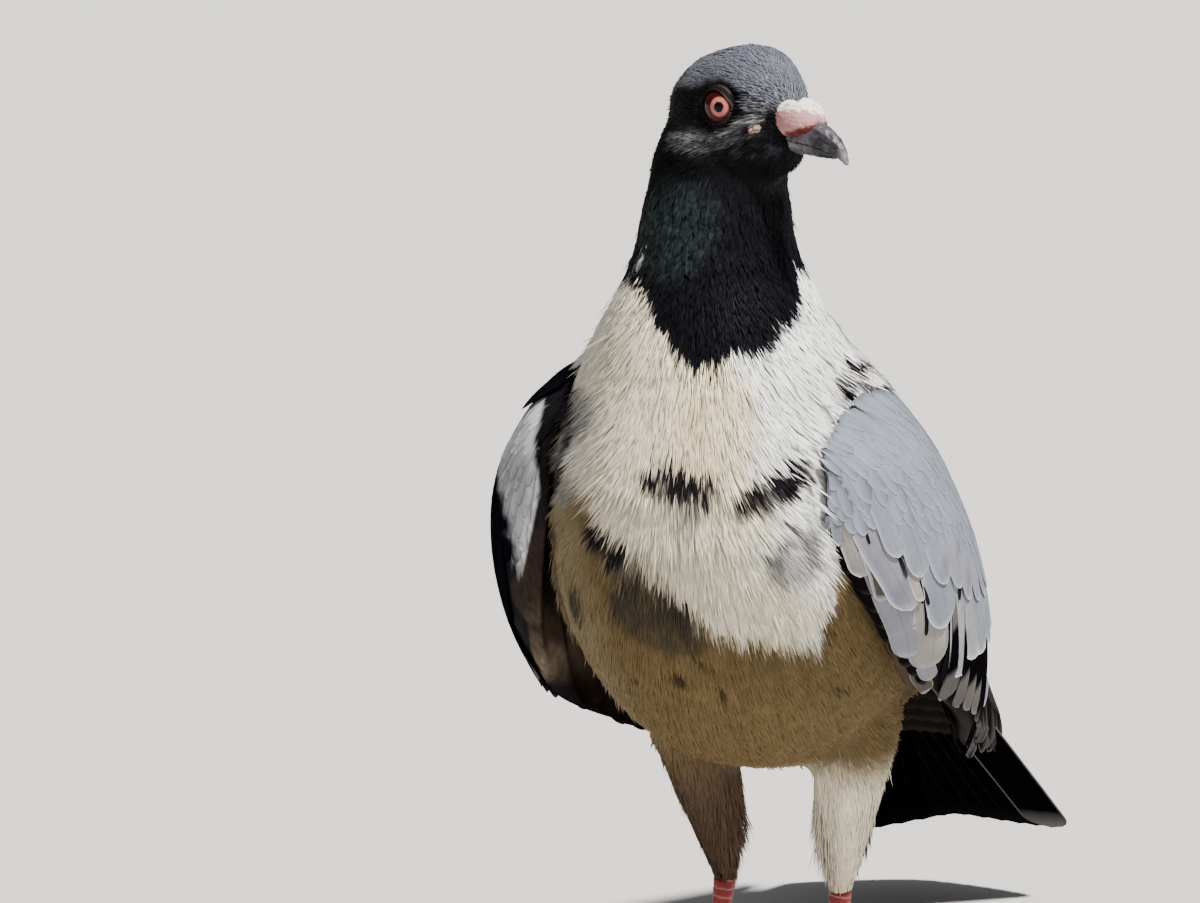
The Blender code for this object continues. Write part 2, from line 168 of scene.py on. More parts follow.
def putVectors(mesh, name, vectors):
    layer = mesh.attributes.new(name, "FLOAT_VECTOR", "POINT")
    layer.data.foreach_set("vector", np.asarray(vectors, np.float32).ravel())


def putMap(mesh, name, places):
    # a UV map from one place for each vertex
    layer = mesh.uv_layers.new(name=name)
    corner = np.empty(len(mesh.loops), np.int32)
    mesh.loops.foreach_get("vertex_index", corner)
    layer.data.foreach_set("uv", np.asarray(places, np.float32)[corner].ravel())


def arraysOf(mesh):
    mesh.calc_loop_triangles()
    points = np.empty(len(mesh.vertices) * 3, np.float32)
    mesh.vertices.foreach_get("co", points)
    triangles = np.empty(len(mesh.loop_triangles) * 3, np.int32)
    mesh.loop_triangles.foreach_get("vertices", triangles)
    return points.reshape(-1, 3).astype(float), triangles.reshape(-1, 3)


def pointNormals(points, triangles):
    a, b, c = (points[triangles[:, k]] for k in range(3))
    faceNormals = np.cross(b - a, c - a)
    total = np.zeros_like(points)
    for k in range(3):
        np.add.at(total, triangles[:, k], faceNormals)
    return unit(total)


def treeOf(names):
    points, triangles, start = [], [], 0
    for name in names:
        p, t = arraysOf(nodes[name].data)
        points.append(p)
        triangles.append(t + start)
        start += len(p)
    return BVHTree.FromPolygons(np.concatenate(points).tolist(), np.concatenate(triangles).tolist())


def evaluated(obj):
    # the object with its modifiers worked out, as a plain mesh
    graph = bpy.context.evaluated_depsgraph_get()
    graph.update()
    mesh = bpy.data.meshes.new_from_object(obj.evaluated_get(graph))
    obj.modifiers.clear()
    obj.data = mesh
    return obj


def joinedNodes(names):
    bm = bmesh.new()
    for name in names:
        bm.from_mesh(nodes[name].data)
    bmesh.ops.remove_doubles(bm, verts=bm.verts, dist=1e-6)
    bmesh.ops.recalc_face_normals(bm, faces=bm.faces)
    return bm


def evenForm(name, bm, voxel, passes, grow=0):
    # one even closed surface round the given faces
    mesh = bpy.data.meshes.new(name)
    bm.to_mesh(mesh)
    bm.free()
    obj = addPiece(name, mesh)
    if grow:
        swell = obj.modifiers.new("Grow", "DISPLACE")
        swell.strength = grow * mm
        swell.mid_level = 0
    even = obj.modifiers.new("Even", "REMESH")
    even.mode = "VOXEL"
    even.voxel_size = voxel * mm
    soft = obj.modifiers.new("Soft", "SMOOTH")
    soft.factor = 0.5
    soft.iterations = passes
    evaluated(obj)
    obj.data.materials.clear()
    obj.data.shade_smooth()
    points, triangles = arraysOf(obj.data)
    return obj, points, pointNormals(points, triangles)


def putPoints(obj, points):
    obj.data.vertices.foreach_set("co", points.astype(np.float32).ravel())
    obj.data.update()


def finishPiece(obj, replaced=()):
    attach(obj, "root")
    if replaced:
        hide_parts(*replaced)
    return obj


# finishes
def feed(tree, socket, value):
    # a socket takes another node's output or a plain value
    if isinstance(value, bpy.types.NodeSocket):
        tree.links.new(value, socket)
    else:
        socket.default_value = value


def addNode(tree, kind, inputs=None, **settings):
    node = tree.nodes.new(kind)
    for key, value in settings.items():
        setattr(node, key, value)
    for key, value in (inputs or {}).items():
        feed(tree, node.inputs[key], value)
    return node


def maths(tree, operation, *values):
    return addNode(tree, "ShaderNodeMath", dict(enumerate(values)), operation=operation).outputs[0]


def scaledNode(tree, vector, factor):
    return addNode(tree, "ShaderNodeVectorMath", {0: vector, "Scale": factor}, operation="SCALE").outputs[0]


def mixNode(tree, factor, first, second):
    return addNode(tree, "ShaderNodeMix", {0: factor, 6: first, 7: second}, data_type="RGBA").outputs[2]


def rangeNode(tree, value, fromLow, fromHigh, toLow, toHigh):
    limits = {"Value": value, "From Min": fromLow, "From Max": fromHigh, "To Min": toLow, "To Max": toHigh}
    return addNode(tree, "ShaderNodeMapRange", limits).outputs["Result"]


def attributeOf(tree, name, output="Color"):
    return addNode(tree, "ShaderNodeAttribute", attribute_name=name).outputs[output]


def placeOn(tree):
    return addNode(tree, "ShaderNodeTexCoord").outputs["Object"]


def noiseOn(tree, vector, scale, detail, stretch=None):
    if stretch:
        vector = addNode(tree, "ShaderNodeMapping", {"Vector": vector, "Scale": stretch}).outputs["Vector"]
    noise = addNode(tree, "ShaderNodeTexNoise", {"Vector": vector, "Scale": scale, "Detail": detail})
    return noise.outputs["Fac"]


def bumpOn(tree, shader, height, strength, distance):
    bump = addNode(tree, "ShaderNodeBump", {"Height": height, "Strength": strength, "Distance": distance})
    tree.links.new(bump.outputs["Normal"], shader.inputs["Normal"])


def paint(tree, shader, colour, factor):
    tree.links.new(scaledNode(tree, colour, factor), shader.inputs["Base Color"])


def newFinish(name, roughness, specular):
    made = bpy.data.materials.new(name)
    made.use_nodes = True
    tree = made.node_tree
    shader = tree.nodes["Principled BSDF"]
    shader.inputs["Roughness"].default_value = roughness
    shader.inputs["Specular IOR Level"].default_value = specular
    return made, tree, shader


def coatFinish(name, rootShade, tipShade, roughness, specular):
    # each tuft takes its own tone, darker at its root, with a little patchiness over the body
    made, tree, shader = newFinish(name, roughness, specular)
    split = addNode(tree, "ShaderNodeSeparateXYZ", {"Vector": attributeOf(tree, "patch", "Vector")})
    along = rangeNode(tree, split.outputs["Y"], 0, 1, rootShade, tipShade)
    cloud = rangeNode(tree, noiseOn(tree, placeOn(tree), 260, 3), 0.3, 0.7, 0.9, 1.08)
    paint(tree, shader, attributeOf(tree, "tone"), maths(tree, "MULTIPLY", along, cloud))
    return made


def vaneFinish(name, edgeTone, barbs, edgeFrom):
    # a feather's vane: fine barbs slant from the shaft, with a pale edge and, on some, a dark bar
    made, tree, shader = newFinish(name, 0.6, 0.0)
    marks = addNode(tree, "ShaderNodeSeparateColor", {0: attributeOf(tree, "mark")}).outputs
    place = addNode(tree, "ShaderNodeUVMap", uv_map="vane").outputs["UV"]
    split = addNode(tree, "ShaderNodeSeparateXYZ", {"Vector": place}).outputs
    side, along = maths(tree, "ABSOLUTE", split["X"]), split["Y"]
    slant = maths(tree, "MULTIPLY_ADD", side, -0.22, along)
    lines = addNode(tree, "ShaderNodeCombineXYZ", {"X": slant, "Y": side}).outputs["Vector"]
    barb = noiseOn(tree, lines, 1.0, 3, (60, 1.2, 1))
    wobble = maths(tree, "MULTIPLY_ADD", barb, 0.10, along)
    sideEdge = rangeNode(tree, side, edgeFrom, 0.97, 0, 1)
    tipEdge = rangeNode(tree, along, 0.90, 0.975, 0, 1)
    barStart = rangeNode(tree, wobble, 0.55, 0.59, 0, 1)
    barEnd = rangeNode(tree, wobble, 0.83, 0.87, 1, 0)
    colour = attributeOf(tree, "tone")
    for share, mark, tone in (
        (maths(tree, "MAXIMUM", sideEdge, tipEdge), marks[0], edgeTone),
        (maths(tree, "MULTIPLY", barStart, barEnd), marks[1], tones["wingBar"]),
        (rangeNode(tree, wobble, 0.55, 0.95, 0, 1), marks[2], tones["wingBar"]),
    ):
        colour = mixNode(tree, maths(tree, "MULTIPLY", share, mark), colour, (*tone, 1))
    shade = rangeNode(tree, barb, 0.3, 0.7, 1 - 0.30 * barbs, 1 + 0.18 * barbs)
    shaft = rangeNode(tree, side, 0.015, 0.05, 0.8, 1.0)
    # each feather also has its own cloud of lighter and darker places
    cloud = rangeNode(tree, noiseOn(tree, placeOn(tree), 130, 3), 0.3, 0.7, 0.9, 1.08)
    paint(tree, shader, colour, maths(tree, "MULTIPLY", maths(tree, "MULTIPLY", shade, shaft), cloud))
    bumpOn(tree, shader, barb, 0.3, 0.00015)
    return made


def grainFinish(name, roughness, specular, grain, shades, bump, polish=0):
    # a surface that takes its tones from the piece, with a grain of its own scale, detail and stretch
    made, tree, shader = newFinish(name, roughness, specular)
    fine = noiseOn(tree, placeOn(tree), *grain)
    paint(tree, shader, attributeOf(tree, "tone"), rangeNode(tree, fine, *shades))
    if polish:
        rough = rangeNode(tree, fine, 0.3, 0.7, roughness + polish, roughness - polish)
        tree.links.new(rough, shader.inputs["Roughness"])
    bumpOn(tree, shader, fine, *bump)
    return made


def skinLike(name, roughness, specular, scale, strength, shades=(0.85, 1.1)):
    return grainFinish(name, roughness, specular, (scale, 5), (0.3, 0.7, *shades), (strength, 0.0003), 0.08)


# plumage colours, the same for skin and coat
def valueNoise(places, size, seed):
    # smooth numbers, mostly between -1 and 1, that change over the given size
    source = np.random.default_rng(seed)
    waves = source.normal(size=(9, 3)) / (size * mm)
    phases = source.random(9) * 2 * math.pi
    total = np.zeros(len(places))
    for wave, phase in zip(waves, phases):
        total += np.sin(places @ wave + phase)
    return total / 3


shelfLine = (
    (-40, 146), (-20.3, 141.6), (-17.5, 132.4), (-6.9, 125), (4.6, 116.8), (14.9, 109), (24.7, 106.9),
    (29, 106), (33, 120), (36, 140), (44, 152),
)


def shelfHeight(p):
    # how far a place lies above the ragged end of the upper breast feathers; the line is also the upper edge
    # of the belly's painted shade, and at the left side it climbs beside the wing along that shade's edge
    return p[:, 2] - lineAt(shelfLine, p[:, 0])


tones = {
    "cream": (0.77, 0.705, 0.545),
    "white": (0.93, 0.93, 0.92),
    "warm": (0.74, 0.62, 0.38),
    # the belly's cream painted in shade, a little lighter towards the right flank
    "belly": (0.128, 0.088, 0.040),
    "flankInShade": (0.175, 0.135, 0.078),
    "stain": (0.022, 0.015, 0.008),
    "bib": (0.0036, 0.0032, 0.0054),
    "nape": (0.0010, 0.0010, 0.0014),
    "crown": (0.122, 0.127, 0.160),
    "cheek": (0.0055, 0.0058, 0.0078),
    "strand": (0.225, 0.220, 0.232),
    # the slate back between the wings, darkened with painted shade
    "shadedMantle": (0.040, 0.046, 0.066),
    "rump": (0.28, 0.30, 0.34),
    "patchBlackAndShade": (0.010, 0.007, 0.010),
    "patchBrownAndShade": (0.040, 0.034, 0.025),
    "patchMud": (0.062, 0.050, 0.032),
    "patchGrey": (0.19, 0.185, 0.185),
    "wing": (0.205, 0.224, 0.268),
    # the right wing: its painted shade, its painted sunlit band, and the painted highlight along that band's
    # rim
    "rightWingShade": (0.0042, 0.0042, 0.0066),
    "wingSunlitBand": (0.40, 0.41, 0.45),
    "wingRimHighlight": (0.80, 0.81, 0.84),
    "wingLilac": (0.232, 0.232, 0.280),
    "wingWarm": (0.300, 0.283, 0.268),
    "wingPale": (0.262, 0.268, 0.290),
    "wingTip": (0.115, 0.108, 0.104),
    "wingBrown": (0.090, 0.074, 0.062),
    # the dark inner webs between feathers, darkened further as painted shade in the gaps
    "wingSlitWebAndShade": (0.010, 0.009, 0.010),
    "wingBar": (0.0030, 0.0024, 0.0036),
    "quill": (0.0065, 0.0048, 0.0048),
    # the tail's grey painted in deep shade
    "tail": (0.0016, 0.0014, 0.0014),
    # a grey under the right shoulder, partly painted shade
    "greyAndShade": (0.50, 0.50, 0.485),
    # the right thigh painted in shade
    "thighInShade": (0.105, 0.070, 0.046),
    "neckSheen": (0.012, 0.017, 0.019),
    "neckFleck": (0.5, 0.5, 0.5),
    "cheekSheen": (0.045, 0.048, 0.068),
    "lores": (0.085, 0.085, 0.095),
    "hindCrown": (0.09, 0.094, 0.115),
    # the vent's greyish brown darkened with painted shade
    "ventInShade": (0.012, 0.0095, 0.008),
    # painted shade ahead of the right wing's rim, high up
    "wingAheadShade": (0.009, 0.008, 0.010),
    "smudge": (0.125, 0.115, 0.150),
    # the wings' inner face, all in painted shade
    "innerTop": (0.026, 0.017, 0.014),
    "innerLow": (0.070, 0.050, 0.036),
    "innerPale": (0.155, 0.120, 0.085),
    "innerEdge": (0.016, 0.010, 0.009),
    "innerSpot": (0.012, 0.010, 0.010),
    "greyEdge": (0.42, 0.43, 0.46),
    "flightEdge": (0.13, 0.12, 0.125),
}

# height of the bib's edge against the direction round the neck, 0 in front, + to the bird's left
bibLine = ((-180, 176), (-120, 180), (-90, 184), (-57, 189), (-38, 188), (-26, 187), (-17, 183), (-8, 178.5),
           (2, 174.5), (8, 172.5), (16, 170.5), (23, 175), (34, 176.5), (50, 179), (60, 181), (70, 187),
           (78, 193), (95, 194), (130, 186), (180, 176))


def bibEdge(p):
    return lineAt(bibLine, np.degrees(np.arctan2(p[:, 0] - 1, -(p[:, 1] + 53))))


# patches on the breast: middle, half sizes, degrees that lift the left side, colour, strength
patches = (
    ((-30.5, -70, 143), (5, 45, 5), 0, "patchGrey", 0.7),
    ((-27, -72, 160), (7, 45, 6), 20, "patchGrey", 0.7),
    ((-35, -66, 151), (6.5, 45, 13), -14, "patchBlackAndShade", 0.97),
    ((3.0, -88, 146.4), (9.5, 30, 3.4), -6, "patchBlackAndShade", 0.97),
    ((23.5, -85, 145.5), (10, 20, 3.6), 34, "patchBlackAndShade", 0.95),
    ((27.0, -81, 129), (5.0, 20, 7.5), -30, "patchGrey", 0.8),
    # the next two are painted shade under the breast's overhang: a dark line along the shelf and a brown pool
    # below it
    ((-14, -89.5, 129), (10, 20, 3.2), -38, "patchBlackAndShade", 0.85),
    ((-5.0, -88, 114.0), (12.5, 20, 8.0), -24, "patchBrownAndShade", 0.85),
    ((-29, -73, 113), (3.0, 20, 5.0), -12, "patchBrownAndShade", 0.9),
    ((-36, -66, 128), (2.6, 20, 4), 0, "patchMud", 0.8),
    ((4.5, -92, 139), (3.0, 20, 5.0), 0, "patchGrey", 0.45),
    ((33.5, -61, 165), (2.0, 9, 2.0), 40, "patchBlackAndShade", 0.95),
    ((35.5, -65.5, 160), (2.2, 9, 2.0), 40, "patchBlackAndShade", 0.95),
    ((34.5, -67.5, 155), (2.6, 9, 2.0), 40, "patchBlackAndShade", 0.9),
    ((33.0, -52, 169), (2.2, 9, 1.8), 40, "patchBlackAndShade", 0.95),
)


def softPatch(places, middle, sizes, lean):
    turn = math.radians(lean)
    d = places - np.array(middle)
    x = d[:, 0] * math.cos(turn) + d[:, 2] * math.sin(turn)
    z = -d[:, 0] * math.sin(turn) + d[:, 2] * math.cos(turn)
    reach = np.sqrt((x / sizes[0]) ** 2 + (d[:, 1] / sizes[1]) ** 2 + (z / sizes[2]) ** 2)
    return smoothStep(1.25 - reach, 0, 0.5)


stains = (
    ((4.5, -80, 101), (3.2, 9, 2.0)), ((7.8, -75, 95), (1.6, 9, 3.4)), ((-2, -78, 98), (2.0, 9, 1.4)),
    ((31.8, -64, 107), (1.6, 9, 2.4)), ((34, -54, 100), (1.2, 9, 1.6)), ((20, -66, 92), (1.2, 9, 1.2)),
    ((-14, -74, 96), (1.3, 9, 1.0)), ((30, -50, 92), (1.4, 9, 1.0)),
)


def plumageColour(points):
    p = birdOf(points)
    h = headLocal(points)
    x, y, z = p.T
    cloud = valueNoise(points, 6, 90)
    # whiter towards the left shoulder, partly painted light on the lit side, and a little grey under the
    # right one, partly painted shade
    colour = mix(tones["cream"], tones["white"], smoothStep(x + 0.3 * (z - 160) + 3 * cloud, 8, 24))
    greyAndShade = 0.75 * smoothStep(-x + 2 * cloud, 12, 32) * smoothStep(z, 130, 146)
    colour = mix(colour, tones["greyAndShade"], greyAndShade)
    colour = mix(colour, tones["warm"], 0.7 * softPatch(p, (10, -88, 160), (10, 14, 15), 0))
    # painted shade under the breast's overhang: below the shelf and further back the belly takes the shaded
    # tones, except on the lit left thigh
    under = smoothStep(-shelfHeight(p) + 1.5 * cloud, -1.0 - 6 * smoothStep(12 - x, 0, 20), 5)
    under = under * smoothStep(z, 52, 68)
    legs = smoothStep(70 - z, 0, 14) * smoothStep(50 - np.abs(y - 5), 0, 12)
    shaded = mix(tones["belly"], tones["flankInShade"], smoothStep(-x + 3 * cloud, 12, 30))
    under = np.maximum(under, smoothStep(y, -38, -22))
    colour = mix(colour, shaded, under * (1 - legs * smoothStep(x, -4, 0)))
    # the right thigh, under the body, painted in shade
    colour = mix(colour, tones["thighInShade"], 0.95 * legs * smoothStep(-x, 0, 4))
    for middle, sizes in stains:
        spot = softPatch(p, middle, sizes, 0) * smoothStep(valueNoise(points, 1.3, 91), -0.6, 0.1)
        colour = mix(colour, tones["stain"], 0.85 * spot)
    # the back is slate between the wings, darkened there with painted shade, and pales to the rump
    above = spineHeight(p)
    back = smoothStep(above, 2 - 6 * smoothStep(y, 30, 60), 12 - 9 * smoothStep(y, 30, 60))
    back = back * smoothStep(185 - z, 0, 4) * smoothStep(y, -66, -56)
    dorsal = mix(tones["shadedMantle"], tones["rump"], smoothStep(y, 5, 60))
    colour = mix(colour, dorsal, back)
    for middle, sizes, lean, name, strength in patches:
        spot = softPatch(p, middle, sizes, lean) * (1.12 + 0.4 * valueNoise(points, 2.0, 92))
        colour = mix(colour, tones[name], np.clip(strength * spot, 0, 1))
    black = smoothStep(z - bibEdge(p) - 1.4 * valueNoise(points, 2.6, 93), -0.5, 0.5) * smoothStep(y, 40, -20)
    neck = mix(tones["bib"], tones["nape"], smoothStep(z, 215, 225))
    sheen = softPatch(p, (-6, -76, 206), (13, 12, 13), 0)
    neck = mix(neck, tones["neckSheen"], sheen)
    colour = mix(colour, neck, black)
    for middle in ((-20.5, -70, 187.5), (-17, -72.4, 191), (-13.5, -72.8, 196)):
        spot = softPatch(p, middle, (1.5, 5, 2.6), -38)
        spot = 0.8 * spot * smoothStep(valueNoise(points, 1.0, 94), -0.3, 0.2)
        colour = mix(colour, tones["neckFleck"], spot)
    return mix(colour, headColour(points, h), smoothStep(z, 214, 221))


# heights against distances back in the head's own frame: pale strands under the eye, the crown's lower edge
strandLine = ((-14.0, -0.8), (-10.8, -1.6), (-6.4, -3.2), (-3.5, -4.9), (-1.0, -5.7), (3.0, -6.0),
              (8.7, -5.7), (12.0, -6.4))
crownLine = ((-19, 1.0), (-14, 2.6), (-9, 5.2), (-3, 7.0), (3, 6.4), (9, 5.0), (15, 3.0), (19, 1.0))


def headColour(points, h):
    x, y, z = h.T
    fine = valueNoise(points, 1.6, 95)
    # slate above a line from the bill's base over the eye to the nape
    crown = smoothStep(z - lineAt(crownLine, y) + 0.8 * fine, -1.2, 1.8)
    cheek = smoothStep(9 - y + 2 * fine, 0, 6) * smoothStep(-z, -3.5, 5.5)
    colour = mix(tones["nape"], tones["cheek"], cheek)
    strand = lineAt(strandLine, y)
    along = smoothStep(y, -15, -12) * smoothStep(13 - y, 0, 4)
    pale = np.exp(-(((z - strand) / 1.3) ** 2)) + 0.35 * np.exp(-(((z - strand + 3.0) / 0.9) ** 2))
    colour = mix(colour, tones["strand"], np.clip(pale * along * (0.75 + 0.5 * fine), 0, 1))
    sheen = softPatch(h * np.array([0, 1, 1]), (0, -12, -8.6), (6.5, 5.5, 1.6), 0)
    colour = mix(colour, tones["cheekSheen"], 0.85 * sheen * smoothStep(fine, -0.5, 0.6))
    lores = softPatch(h * np.array([0, 1, 1]), (0, -12.4, 2.4), (3.6, 3.6, 2.2), 0)
    colour = mix(colour, tones["lores"], lores * smoothStep(fine, -0.6, 0.4))
    crownTone = mix(tones["crown"], tones["hindCrown"], smoothStep(y, 6, 17))
    colour = mix(colour, crownTone, crown)
    return mix(colour, tones["nape"], smoothStep(-z, 9.5, 14))


# the bird's long axis, from tail root to crown, and the lie of the coat along it
spine = np.array([
    (0, 116, 64), (0, 78, 86), (0, 45, 101), (0, 6, 118), (0, -24, 135), (0, -44, 155),
    (0.3, -53, 176), (0.8, -55.5, 196), (1.4, -55, 213), (5, -56, 232), (7, -57, 250),
], float)
spineSteps = np.concatenate([[0], np.cumsum(np.linalg.norm(np.diff(spine, axis=0), axis=1))])


def alongSpine(places):
    # for each place: how far along the spine, the direction towards the tail there, and its nearest point
    best = np.full(len(places), np.inf)
    reach = np.zeros(len(places))
    foot = np.zeros((len(places), 3))
    weightSum = np.zeros(len(places))
    way = np.zeros((len(places), 3))
    for k in range(len(spine) - 1):
        a, b = spine[k], spine[k + 1]
        t = np.clip((places - a) @ (b - a) / ((b - a) @ (b - a)), 0, 1)
        near = a + t[:, None] * (b - a)
        d = np.linalg.norm(places - near, axis=1)
        closer = d < best
        best[closer] = d[closer]
        reach[closer] = spineSteps[k] + t[closer] * np.linalg.norm(b - a)
        foot[closer] = near[closer]
        weight = np.exp(-((d - 10) / 14) ** 2) + 1e-9
        way += weight[:, None] * unit(a - b)
        weightSum += weight
    return reach, way / weightSum[:, None], foot


def spineHeight(places):
    # how far a place lies above the spine, on the back's side
    reach, way, foot = alongSpine(places)
    up = unit(np.cross(way, np.array([1.0, 0, 0])))
    up[up[:, 2] < 0] *= -1
    return ((places - foot) * up).sum(1)


report("frame loaded")

# skin
skinPlan = {"grow": 0.5, "voxel": 0.99, "passes": 16, "bodyDepth": 1.3, "headDepth": 0.55, "legDepth": 1.2}
fleshNodes = ("head", "neck", "trunk", "thigh_left", "thigh_right")


def makeSkin():
    made, points, normals = evenForm(
        "skin", joinedNodes(fleshNodes), skinPlan["voxel"], skinPlan["passes"], skinPlan["grow"])
    p = birdOf(points)
    onHead = smoothStep(p[:, 2], 212, 222)
    onLeg = smoothStep(62 - p[:, 2], 0, 10) * smoothStep(60 - p[:, 1], 0, 10)
    depth = skinPlan["bodyDepth"] * (1 - onHead) + skinPlan["headDepth"] * onHead
    depth = depth * (1 - onLeg) + skinPlan["legDepth"] * onLeg
    putPoints(made, openEyes(points - normals * ((skinPlan["grow"] + depth) * mm)[:, None]))
    made.data.shade_smooth()
    return made


eyePlan = {
    "radius": 6.0, "opening": 4.0, "skinReach": 6.8, "lidReach": 6.6,
    "rings": 96, "lidRings": 12, "sides": 96,
    # how far the gaze turns forward, and the ends of pupil, pale ring and iris, all in degrees
    "forward": 20, "pupil": 11.6, "ring": 21.5, "iris": 44,
}


def openEyes(points):
    # draws the skin back round each eye, so that the opening has its real width
    h = headLocal(points)
    for side in (1, -1):
        d = np.hypot(h[:, 1] - eyeLocal[1], h[:, 2] - eyeLocal[2])
        near = (d < eyePlan["skinReach"]) & (h[:, 0] * side > 2)
        ball = np.sqrt(np.maximum(eyePlan["radius"] ** 2 - d**2, 0)) + eyeLocal[0]
        hidden = ball - 0.5
        share = 1 - smoothStep(d, eyePlan["opening"], eyePlan["skinReach"])
        x = h[:, 0] * side
        drawn = x * (1 - share) + np.minimum(x, hidden) * share
        h[:, 0] = np.where(near, drawn * side, h[:, 0])
    return headPlace(h)


skin = makeSkin()
skinPoints, skinTriangles = arraysOf(skin.data)
skinNormals = pointNormals(skinPoints, skinTriangles)
skinTree = BVHTree.FromPolygons(skinPoints.tolist(), skinTriangles.tolist())
wingNodes = ["wing_left", "wing_right", "primaries_left", "primaries_right", "tail"]
coverTree = treeOf(wingNodes)
putColour(skin.data, "tone", plumageColour(skinPoints) * 0.8)
report(f"skin with {len(skinTriangles)} triangles")
skin.data.materials.append(grainFinish(
    "skin down", 0.75, 0.2, (1.0, 4, (2600, 2600, 420)), (0.3, 0.7, 0.75, 1.15), (0.5, 0.0004)))
finishPiece(skin, fleshNodes)


# coat: roots spread evenly over the skin, tufts set on them by one node tree
def spreadRoots(keep, spacing, seed):
    # random places on the wanted triangles, one for each small cell of space
    source = np.random.default_rng(seed)
    corners = skinPoints[skinTriangles]
    middle = corners.mean(1)
    wanted = np.where(keep(middle))[0]
    corners = corners[wanted]
    area = np.linalg.norm(np.cross(corners[:, 1] - corners[:, 0], corners[:, 2] - corners[:, 0]), axis=1) / 2
    count = int(area.sum() / (spacing * mm) ** 2 * 2.2)
    pick = source.choice(len(area), count, p=area / area.sum())
    a, b = source.random(count), source.random(count)
    fold = a + b > 1
    a[fold], b[fold] = 1 - a[fold], 1 - b[fold]
    c = corners[pick]
    places = c[:, 0] + a[:, None] * (c[:, 1] - c[:, 0]) + b[:, None] * (c[:, 2] - c[:, 0])
    cells = np.floor(places / (spacing * mm)).astype(np.int64)
    _, first = np.unique(cells, axis=0, return_index=True)
    first.sort()
    corner = skinNormals[skinTriangles[wanted[pick[first]]]]
    a, b = a[first][:, None], b[first][:, None]
    normals = unit(corner[:, 0] * (1 - a - b) + corner[:, 1] * a + corner[:, 2] * b)
    return places[first], normals


def coatLie(places, normals):
    # the way the feathers point, along the skin
    p = birdOf(places)
    h = headLocal(places)
    _, way, foot = alongSpine(p)
    side = unit((p - foot) * np.array([1, 0, 0]) + 1e-9)
    spread = smoothStep(np.abs(p[:, 0] - 2), 4, 34) * smoothStep(p[:, 2], 112, 150)
    spread = spread * (1 - smoothStep(p[:, 2], 184, 196))
    way = way + spread[:, None] * (0.9 * side + np.array([0, 0.5, 0]))
    onLeg = smoothStep(70 - p[:, 2], 0, 12) * smoothStep(52 - np.abs(p[:, 1] - 5), 0, 14)
    way = way * (1 - onLeg[:, None]) + np.array([0, 0.25, -1.0]) * onLeg[:, None]
    fromBill = headAxes.T @ np.array([0, 1, 0])
    radial = unit((h - np.array([0, -19, -3]))) @ headAxes
    onHead = smoothStep(p[:, 2], 214, 226)[:, None]
    swept = unit(radial + 0.35 * fromBill + np.array([0, 0, -0.35]))
    way = way * (1 - onHead) + swept * onHead
    return unit(flatten(way, normals))


def tuftObject(name, rings, width=0.5, ridge=0.16):
    # a thin closed blade along +y: rings are (along, share of the width, height)
    points, patch = [], []
    for along, share, height in rings:
        half = width * share
        points += [(-half, along, height), (half, along, height), (0, along, height + ridge * share)]
        patch += [(0, along, 0), (1, along, 0), (0.5, along, 0)]
    tip = len(points)
    points.append((0, 1, rings[-1][2] + 0.1))
    patch.append((0.5, 1, 0))
    quads, ends = [], [(0, 2, 1)]
    for k in range(len(rings) - 1):
        a, b = 3 * k, 3 * k + 3
        for i, j in ((0, 1), (1, 2), (2, 0)):
            quads.append((a + i, a + j, b + j, b + i))
    last = 3 * len(rings) - 3
    for i, j in ((0, 1), (1, 2), (2, 0)):
        ends.append((last + i, last + j, tip))
    mesh = buildMesh(name, np.array(points), [np.array(quads), np.array(ends)])
    putVectors(mesh, "patch", patch)
    fixNormals(mesh)
    obj = addPiece(name, mesh)
    obj.hide_render = True
    obj.hide_viewport = True
    return obj


